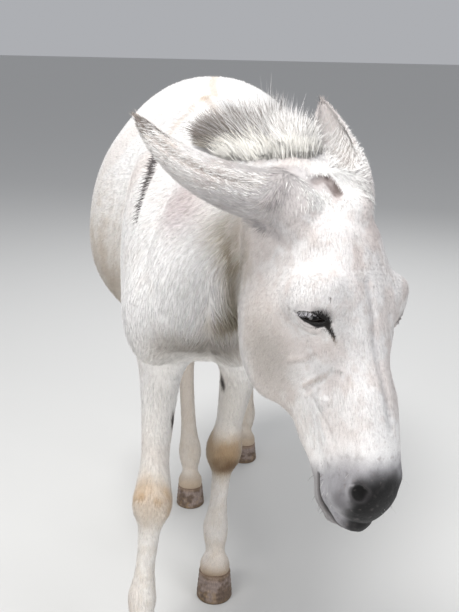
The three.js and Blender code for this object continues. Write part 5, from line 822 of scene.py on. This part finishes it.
# forelock
def notch_far(R): return 1 - near_line(w2h(R), NOTCH, .020, .015, .5)
n = 1500
hx_ = np.where(g.random(n) < .6, g.normal(.000, .020, n), g.normal(-.040, .016, n)); hd_ = g.uniform(-.060, .020, n); R, NR = settle(h2w(np.stack([hx_, hd_, np.full(n, -.03) - .5 * np.maximum(-.03 - hx_, 0)], 1)), 6); ok = (notch_far(R) > .6) & (ear_near(R) > .02) & (hx_ < .030); R, NR, hx_, n = R[ok], NR[ok], hx_[ok], ok.sum()
fwd = unit(hdir((0, 1, 0)) * .75 + hdir((1, 0, 0)) * (.45 + hx_ * 7)[:, None] + g.normal(0, .18, (n, 3))); fwd = unit(fwd - (fwd * NR).sum(1, keepdims=True) * NR)
o, k = hair('forelock', R - NR * .001, unit(fwd + NR * .20), unit(fwd - NR * .04), g.uniform(.009, .020, n), g.uniform(.0009, .0017, n), NR, 3, M_LONG, flat=.4, cols=np.clip(np.array([.95, .945, .93]) * (1 + g.normal(0, .035, (n, 1))), 0, 1), root_shade_tip_tone=(.92, 1.03), soft=unit(NR + g.normal(0, .12, (n, 3)))); TOTAL += k
# white down that lines the left ear and sweeps over its opening
b, e, o_, q_, L_ = ear_axis('L'); t, po, pq, rr = ear_coords(P, 'L'); wl = np.interp(np.clip(t, 0, 1), [q[0] for q in EAR_GIRTH['L']], [q[1] for q in EAR_GIRTH['L']])
area_ = np.zeros(len(P)); np.add.at(area_, TRI[:, 0], AREA); w_ = (t > .03) * (t < .90) * (rr < .055) * (po > -.8 * wl) * ((NRM @ o_) > .15) * area_ * step(.95, .45, t); n = 2600; g = np.random.default_rng(36); i_ = g.choice(len(P), n, p=w_ / w_.sum()); R = P[i_] + g.normal(0, .0006, (n, 3)); NR = NRM[i_]; tt, po, pq, rr = ear_coords(R, 'L')
sgq = np.sign(q_[0]); room = np.clip(np.interp(np.clip(tt, 0, 1), [q[0] for q in EAR_GIRTH['L']], [q[1] for q in EAR_GIRTH['L']]) - pq * sgq, 0, 1); over = e * .75 + q_ * sgq * .62; over = unit(over - (over * NR).sum(1, keepdims=True) * NR); d0 = unit(over + .16 * NR + g.normal(0, .13, (n, 3))); d1 = unit(d0 + q_ * sgq * .30 - np.array([0, 0, .25]) - .12 * NR + g.normal(0, .05, (n, 3)))
o, k = hair('ear_down_left', R - d0 * .0008, d0, d1, np.minimum(g.uniform(.014, .032, n), room * 1.15 + .006) * (1 - .45 * step(.5, .9, tt)), g.uniform(.0009, .0016, n), unit(o_ + .5 * g.normal(0, 1, (n, 3))), 4, M_LONG, flat=.45, cols=np.clip((np.array([.95, .94, .93]) * (1 - .18 * step(.55, .85, tt)[:, None])) * (1 + g.normal(0, .04, (n, 1))), 0, 1), root_shade_tip_tone=(.90, 1.03), soft=unit(o_ + .5 * NR + .25 * np.array([0, 0, 1.]) + g.normal(0, .13, (n, 3)))); TOTAL += k

# =====================================================================  ears' long hair
def ear_hair(s, n, seed):
    g = np.random.default_rng(seed); t, po, pq, rr = ear_coords(P, s); w = np.interp(np.clip(t, 0, 1), [q[0] for q in EAR_GIRTH[s]], [q[1] for q in EAR_GIRTH[s]])
    sl = np.interp(np.clip(t, 0, 1), [q[0] for q in EAR_GIRTH[s]], [q[5] for q in EAR_GIRTH[s]]); rim = (t > .06) * (t < .99) * (rr < .055) * (po > -.004) * step(.020, .004, np.abs(np.abs(pq) - sl - .004)) * (po > .2 * w * (t < .9))
    return t, rim
for s, n, L0, sd_ in (('R', 2600, .012, 31), ('L', 2200, .010, 32)):
    n = n; t, rim = ear_hair(s, n, sd_); area = np.zeros(len(P)); np.add.at(area, TRI[:, 0], AREA); w = rim * area; w = w / w.sum(); g = np.random.default_rng(sd_); i = g.choice(len(P), n, p=w); R = P[i] + g.normal(0, .0008, (n, 3)); NR = NRM[i]
    b, e, o_, q_, L_ = ear_axis(s); tt, po, pq, rr = ear_coords(R, s); sgn = np.sign(pq)[:, None]; grav = np.array([0, 0, -1.])
    if s == 'R': d0 = unit(e * 1. + o_ * .22 - q_ * sgn * .30 + grav * (.05 + .35 * (pq < 0))[:, None] + g.normal(0, .14, (n, 3))); d1 = unit(d0 + grav * .30 + e * .3 - o_ * .1)
    else: d0 = unit(e * .95 + o_ * .22 - q_ * sgn * .25 + g.normal(0, .13, (n, 3))); d1 = unit(d0 + grav * .20 + e * .2)
    c = np.where((g.random(n) < (.30 if s == 'R' else .15))[:, None], [.76, .73, .71], [.94, .93, .92]); c = c * (1 - .25 * step(.80, 1., tt))[:, None]
    o, k = hair('ear_fringe_' + ('right' if s == 'R' else 'left'), R - d0 * .0008, d0, d1, L0 * g.uniform(.5, 1.25, n) * (1 - .35 * step(.7, 1, tt)), g.uniform(.0008, .0015, n), unit(o_ + .6 * g.normal(0, 1, (n, 3))), 3, M_LONG, flat=.45, cols=np.clip(c * (1 + g.normal(0, .045, (n, 1))), 0, 1), root_shade_tip_tone=(.88, 1.04), soft=unit(NR + .5 * o_ + g.normal(0, .14, (n, 3)))); TOTAL += k

# =====================================================================  tail switch
g = np.random.default_rng(44); n = 1900
z0 = .72 - .30 * g.random(n) ** .8; th = g.uniform(0, 2 * np.pi, n); yc = np.interp(z0, [.43, .51, .60, .68, .76, .85], [.904, .904, .903, .902, .900, .895]); rad = np.interp(z0, [.43, .51, .60, .68, .76], [.004, .007, .009, .011, .014])
R = np.stack([np.cos(th) * rad, yc + np.sin(th) * rad, z0], 1); out = np.stack([np.cos(th), np.sin(th), 0 * th], 1); d0 = unit(out * g.uniform(.06, .26, n)[:, None] + [0, 0, -1]); d1 = unit(-out * g.uniform(.0, .16, n)[:, None] + [0, 0, -1] + g.normal(0, .05, (n, 3)))
Lt = np.minimum(g.uniform(.11, .20, n), z0 - .338); dk = g.random(n) < .45
o, k = hair('tail_switch', R, d0, d1, Lt, g.uniform(.0030, .0052, n), unit(out + .5 * g.normal(0, 1, (n, 3))), 5, M_MANE, flat=.45, cols=np.clip(np.where(dk[:, None], [.52, .475, .43], [.84, .81, .76]) * (1 + g.normal(0, .07, (n, 1))), 0, 1), region='tail', root_shade_tip_tone=(.74, 1.04), power=2.2); TOTAL += k

# =====================================================================  lashes and feelers
R, d0, d1, Ls, Ws, Cs, Ns = [], [], [], [], [], [], []
g = np.random.default_rng(55)
for s in (-1, 1):
    c, n_, al, ac = eye_frame(s)
    for row_ in range(2):
        for a in np.linspace(-.95, .35, 44):
            a = a + g.normal(0, .02); x = a * .0205; top = float(lids(np.array(a))[0]) + .0004 + .0006 * row_; zz = math.sqrt(max((EYE_R + .0026) ** 2 - x * x - top * top, 1e-8))
            R.append(c + al * x + ac * top + n_ * zz); k = 1 - .65 * step(-.2, .35, np.array(a)); d = unit(n_ * .78 - ac * (.42 + .20 * row_) + al * (.02 + .12 * a) + g.normal(0, .07, 3)); d0.append(d); d1.append(unit(d - ac * .70 - n_ * .12))
            Ls.append(g.uniform(.0085, .0125) * k * (1.12 if s < 0 else .28)); Ws.append(.00070); Cs.append((.88, .87, .89) if g.random() < .70 or s > 0 else (.30, .28, .28)); Ns.append(ac)
    for a in np.linspace(-.8, .8, 20):
        x = a * .0205; low = -float(lids(np.array(a))[1]) - .0004; zz = math.sqrt(max((EYE_R + .0026) ** 2 - x * x - low * low, 1e-8)); R.append(c + al * x + ac * low + n_ * zz); d = unit(n_ * .8 - ac * .6 + g.normal(0, .1, 3)); d0.append(d); d1.append(unit(d - ac * .5)); Ls.append(g.uniform(.003, .005) * (1 if s < 0 else .6)); Ws.append(.0005); Cs.append((.30, .28, .27) if s < 0 else (.66, .63, .62)); Ns.append(ac)
R, d0, d1, Ns, Cs = (np.array(v, F) for v in (R, d0, d1, Ns, Cs))
o, k = hair('lashes', R, d0, d1, np.array(Ls), np.array(Ws), Ns, 3, M_LONG, flat=.6, cols=Cs, root_shade_tip_tone=(.70, 1.08)); TOTAL += k
n = 60; hx_ = g.uniform(-.052, .052, n); hd_ = g.uniform(.40, .468, n); hz2 = np.where(g.random(n) < .55, -.150, -.100); hz2 = np.where(g.random(n) < .2, -.06, hz2)
R, NR = settle(h2w(np.stack([hx_ * np.where(hz2 > -.11, 1.1, .6), hd_, hz2], 1)), 6); ok = nose_clear(R) > .3; R, NR, n = R[ok], NR[ok], ok.sum(); dn = hdir((0, 1, 0))
d0 = unit(NR * .8 + dn * .5 + g.normal(0, .18, (n, 3))); o, k = hair('feelers', R, d0, unit(d0 + dn * .4 - np.array([0, 0, .2])), g.uniform(.006, .016, n), np.full(n, .00042), unit(np.cross(d0, dn)), 3, M_LONG, flat=.7, cols=np.where(g.random((n, 1)) < .6, [[.85, .84, .82]], [[.30, .28, .27]]), root_shade_tip_tone=(1, 1)); TOTAL += k

# =====================================================================  eyes
def eye(s, name):
    c, n_, al, ac = eye_frame(s); nu, nv = 64, 40; V, Fq = [], []
    th = np.linspace(0, np.pi, nv + 1)[1:-1]; ph = np.linspace(0, 2 * np.pi, nu, endpoint=False); TH, PH = np.meshgrid(th, ph, indexing='ij'); q = np.stack([np.sin(TH) * np.cos(PH), np.sin(TH) * np.sin(PH), np.cos(TH)], -1).reshape(-1, 3)
    q = np.concatenate([[[0, 0, 1.]], q, [[0, 0, -1.]]]); cornea = .0012 * step(.70, .95, q[:, 2]); rr = (EYE_R - .0004) + cornea; Vq = c + (al * q[:, :1] + ac * q[:, 1:2] + n_ * q[:, 2:3]) * rr[:, None]
    idx = lambda i, j: 1 + i * nu + (j % nu); m = len(th); quads = np.array([[idx(i, j), idx(i + 1, j), idx(i + 1, j + 1), idx(i, j + 1)] for i in range(m - 1) for j in range(nu)]); t1 = np.array([[0, idx(0, j), idx(0, j + 1)] for j in range(nu)]); t2 = np.array([[len(q) - 1, idx(m - 1, j + 1), idx(m - 1, j)] for j in range(nu)])
    if np.dot(np.cross(al, ac), n_) < 0: quads = quads[:, ::-1]; t1 = t1[:, ::-1]; t2 = t2[:, ::-1]
    r = np.hypot(q[:, 0], q[:, 1]); pup = np.hypot(q[:, 0] / .40, q[:, 1] / .20); col = np.repeat(np.array([[.13, .10, .085]]), len(q), 0); iris = step(.66, .60, r) * (q[:, 2] > 0)
    a = np.arctan2(q[:, 1], q[:, 0]); ray = .5 + .5 * np.sin(a * 23 + 3 * np.sin(a * 7)); ic = np.array([.10, .062, .042]) * (1 - .35 * ray[:, None]) ; col = col * (1 - iris[:, None]) + ic * iris[:, None]; p = step(1.1, .85, pup) * (q[:, 2] > 0); col = col * (1 - p[:, None]) + np.array([.012, .012, .016]) * p[:, None]; lim = step(.10, .0, np.abs(r - .64)) * (q[:, 2] > 0); col = col * (1 - .7 * lim[:, None])
    o = make(name, row(Vq), [quads, t1, t2], col, mats=[M_EYE]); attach(o, 'root'); return o
M_EYE, nt, b = node_mat('eye'); L = nt.links.new; cl = N_(nt, 'ShaderNodeVertexColor', layer_name='Col'); tc = N_(nt, 'ShaderNodeTexCoord'); nz_ = N_(nt, 'ShaderNodeTexNoise', i_Scale=900., i_Detail=3.); L(tc.outputs['Object'], nz_.inputs['Vector'])
mr = N_(nt, 'ShaderNodeMapRange'); mr.inputs['To Min'].default_value = .75; mr.inputs['To Max'].default_value = 1.2; L(nz_.outputs['Fac'], mr.inputs['Value']); sc_ = N_(nt, 'ShaderNodeVectorMath', operation='SCALE'); L(cl.outputs['Color'], sc_.inputs[0]); L(mr.outputs[0], sc_.inputs['Scale']); L(sc_.outputs[0], b.inputs['Base Color'])
b.inputs['Roughness'].default_value = .14; b.inputs['Coat Weight'].default_value = .10; b.inputs['Coat Roughness'].default_value = .03; b.inputs['Specular IOR Level'].default_value = .28
for s, nm, node in ((-1, 'eyeball_right', 'eye_right'), (1, 'eyeball_left', 'eye_left')): o = eye(s, nm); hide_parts(node); TOTAL += 5000

# =====================================================================  hooves
M_HOOF, nt, b = node_mat('horn'); L = nt.links.new; cl = N_(nt, 'ShaderNodeVertexColor', layer_name='Col'); tc = N_(nt, 'ShaderNodeTexCoord'); mp = N_(nt, 'ShaderNodeMapping'); mp.inputs['Scale'].default_value = (1, 1, .22); L(tc.outputs['Object'], mp.inputs['Vector'])
n1 = N_(nt, 'ShaderNodeTexNoise', i_Scale=320., i_Detail=5., i_Roughness=.65); L(mp.outputs[0], n1.inputs['Vector']); mr = N_(nt, 'ShaderNodeMapRange'); mr.inputs['From Min'].default_value = .3; mr.inputs['From Max'].default_value = .7; mr.inputs['To Min'].default_value = .62; mr.inputs['To Max'].default_value = 1.25; L(n1.outputs['Fac'], mr.inputs['Value'])
sc_ = N_(nt, 'ShaderNodeVectorMath', operation='SCALE'); L(cl.outputs['Color'], sc_.inputs[0]); L(mr.outputs[0], sc_.inputs['Scale']); L(sc_.outputs[0], b.inputs['Base Color']); bp = N_(nt, 'ShaderNodeBump', i_Strength=.5, i_Distance=.0012); L(n1.outputs['Fac'], bp.inputs['Height']); L(bp.outputs[0], b.inputs['Normal'])
rr = N_(nt, 'ShaderNodeMapRange'); rr.inputs['To Min'].default_value = .45; rr.inputs['To Max'].default_value = .85; L(n1.outputs['Fac'], rr.inputs['Value']); L(rr.outputs[0], b.inputs['Roughness']); b.inputs['Specular IOR Level'].default_value = .35
def hoof(name, j, r, seed):
    lo_, hi_ = (np.array(v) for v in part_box(name)); hf = np.array(j['hf'], F) - SHIFT; ft = np.array(j['ft'], F) - SHIFT; hf[2] = 0; co = np.array(j['hf'], F) + (np.array(j['ft'], F) - np.array(j['hf'], F)) * (1 - CORONET) - SHIFT
    nu = 72; zs = np.concatenate([np.linspace(0, .92, 26), [.955, .98, 1.0]]); H = hi_[2] - .0005; V = []; g = np.random.default_rng(seed); n = len(zs); a = np.linspace(0, 2 * np.pi, nu, endpoint=False)
    cx0, cy0 = hf[0], hf[1]; cx1, cy1 = co[0], co[1]
    for i, t in enumerate(zs):
        cx = cx0 + (cx1 - cx0) * t * H / max(co[2], .01); cy = cy0 + (cy1 - cy0) * t * H / max(co[2], .01); w = r * (1 - .14 * t); f_ = r * (1.18 - .20 * t); bk = r * (1.02 - .14 * t)
        ring = .0007 * np.sin(t * 34 + 1.2 * np.sin(a * 2 + seed)) * (t > .08) * (t < .93); roll = .0022 * max(0, 1 - abs(t - .95) / .05) if t < 1 else -.002; inset = -.0016 if t == 0 else 0; k = 1 if t < .999 else .80
        ca, sa = np.cos(a), np.sin(a); yy = np.where(sa < 0, f_, bk); sc = k * (1 + (ring + roll * .4 + inset) / r) * (1 - .06 * np.maximum(sa, 0) ** 3 * (t < .9)); V.append(np.stack([cx + ca * w * sc, cy + sa * yy * sc, np.full(nu, t * H)], 1))
    V = np.array(V); zc = V[..., 2]; lo2 = lo_ - .0015; hi2 = hi_ + .0015; V = np.clip(V, [lo2[0], lo2[1], 0], [hi2[0], hi2[1], hi_[2] + .001]).reshape(-1, 3); cap = len(V); V = np.concatenate([V, [[cx0, cy0, .0]], [[cx1, cy1, H]]])
    Q = np.array([[i * nu + k, i * nu + (k + 1) % nu, (i + 1) * nu + (k + 1) % nu, (i + 1) * nu + k] for i in range(n - 1) for k in range(nu)]); t1 = np.array([[cap, (k + 1) % nu, k] for k in range(nu)]); t2 = np.array([[cap + 1, (n - 1) * nu + k, (n - 1) * nu + (k + 1) % nu] for k in range(nu)])
    D_ = V + SHIFT; m1 = cloud(D_, 45, 60 + seed)[:, None]; m2 = cloud(D_, 140, 70 + seed)[:, None]; zz = V[:, 2:3] / H; col = np.array([.30, .25, .215]) * (1 - .0 * zz) + 0 * zz; k = step(.46, .60, m1); col = col * (1 - k * .75) + np.array([.46, .415, .395]) * k * .75; k = step(.50, .64, m2) * step(.75, .2, zz); col = col * (1 - .6 * k) + np.array([.45, .38, .29]) * .6 * k
    k = step(.22, .0, zz); col = col * (1 - .65 * k) + np.array([.33, .275, .21]) * .65 * k; k = step(.80, .95, zz); col = col * (1 - .5 * k) + np.array([.42, .35, .28]) * .5 * k
    o = make(name.replace('hoof', 'horn'), V, [Q, t1, t2], np.clip(col * 1.28, 0, 1), mats=[M_HOOF]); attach(o, 'root'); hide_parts(name); return len(Q) * 2 + len(t1) * 2
for name, j, r, sd_ in (('hoof_fore_right', FORE['R'], .039, 1), ('hoof_fore_left', FORE['L'], .039, 2), ('hoof_hind_right', HIND['R'], .036, 3), ('hoof_hind_left', HIND['L'], .036, 4)): TOTAL += hoof(name, j, r, sd_)
print('triangles in all', TOTAL, 'time', round(time.time() - T0, 1))

# =====================================================================  floor, light, camera
fl = make('floor', [(-30, -30, 0), (30, -30, 0), (30, 30, 0), (-30, 30, 0)], [np.array([[0, 1, 2, 3]])], smooth=False); mf, nt, b = node_mat('floor'); b.inputs['Base Color'].default_value = (.60, .60, .59, 1); b.inputs['Roughness'].default_value = .85; fl.data.materials.append(mf)
w = bpy.data.worlds.new('studio'); bpy.context.scene.world = w; w.use_nodes = True; w.node_tree.nodes['Background'].inputs[0].default_value = (.93, .95, 1, 1); w.node_tree.nodes['Background'].inputs[1].default_value = .45
def area(name, at, to, size, power, color=(1, 1, 1)):
    d = bpy.data.lights.new(name, 'AREA'); d.shape = 'DISK'; d.size = size; d.energy = power; d.color = color; o = bpy.data.objects.new(name, d); bpy.context.scene.collection.objects.link(o)
    o.location = at; o.rotation_mode = 'QUATERNION'; o.rotation_quaternion = (Vector(to) - Vector(at)).to_track_quat('-Z', 'Y')
area('key', (-.9, -.7, 3.9), (0, 0, .8), 1.4, 122, (1, .99, .975)); area('fill', (2.8, -2.6, 1.8), (0, -.1, .7), 2.2, 46, (.97, .98, 1)); area('front', (-1.3, -3.4, 1.2), (0, -.2, .40), 1.8, 44, (1, .99, .98)); area('back', (.8, 3.0, 2.8), (0, .2, .9), 2.2, 45)
PITCH, YAW, ROLL = map(math.radians, (16., -.6, 1.2)); Cam = np.array([.07, -1.86, 1.22])
Rz = np.array([[math.cos(-YAW), -math.sin(-YAW), 0], [math.sin(-YAW), math.cos(-YAW), 0], [0, 0, 1]]); fw = Rz @ [0, math.cos(PITCH), -math.sin(PITCH)]; ri = Rz @ [1, 0, 0]; upv = np.cross(ri, fw); c_, s_ = math.cos(ROLL), math.sin(ROLL); RR, UU = c_ * ri + s_ * upv, -s_ * ri + c_ * upv
cam = bpy.data.cameras.new('camera'); co = bpy.data.objects.new('camera', cam); bpy.context.scene.collection.objects.link(co); at = Cam - SHIFT
co.matrix_world = Matrix([[RR[0], UU[0], -fw[0], at[0]], [RR[1], UU[1], -fw[1], at[1]], [RR[2], UU[2], -fw[2], at[2]], [0, 0, 0, 1]])
cam.sensor_width = 36; cam.sensor_fit = 'AUTO'; cam.lens = 58.82; cam.clip_start = .05; cam.clip_end = 200; bpy.context.scene.camera = co
vs = bpy.context.scene.view_settings; vs.view_transform = 'Standard'; vs.look = 'None'; vs.exposure = 0.0
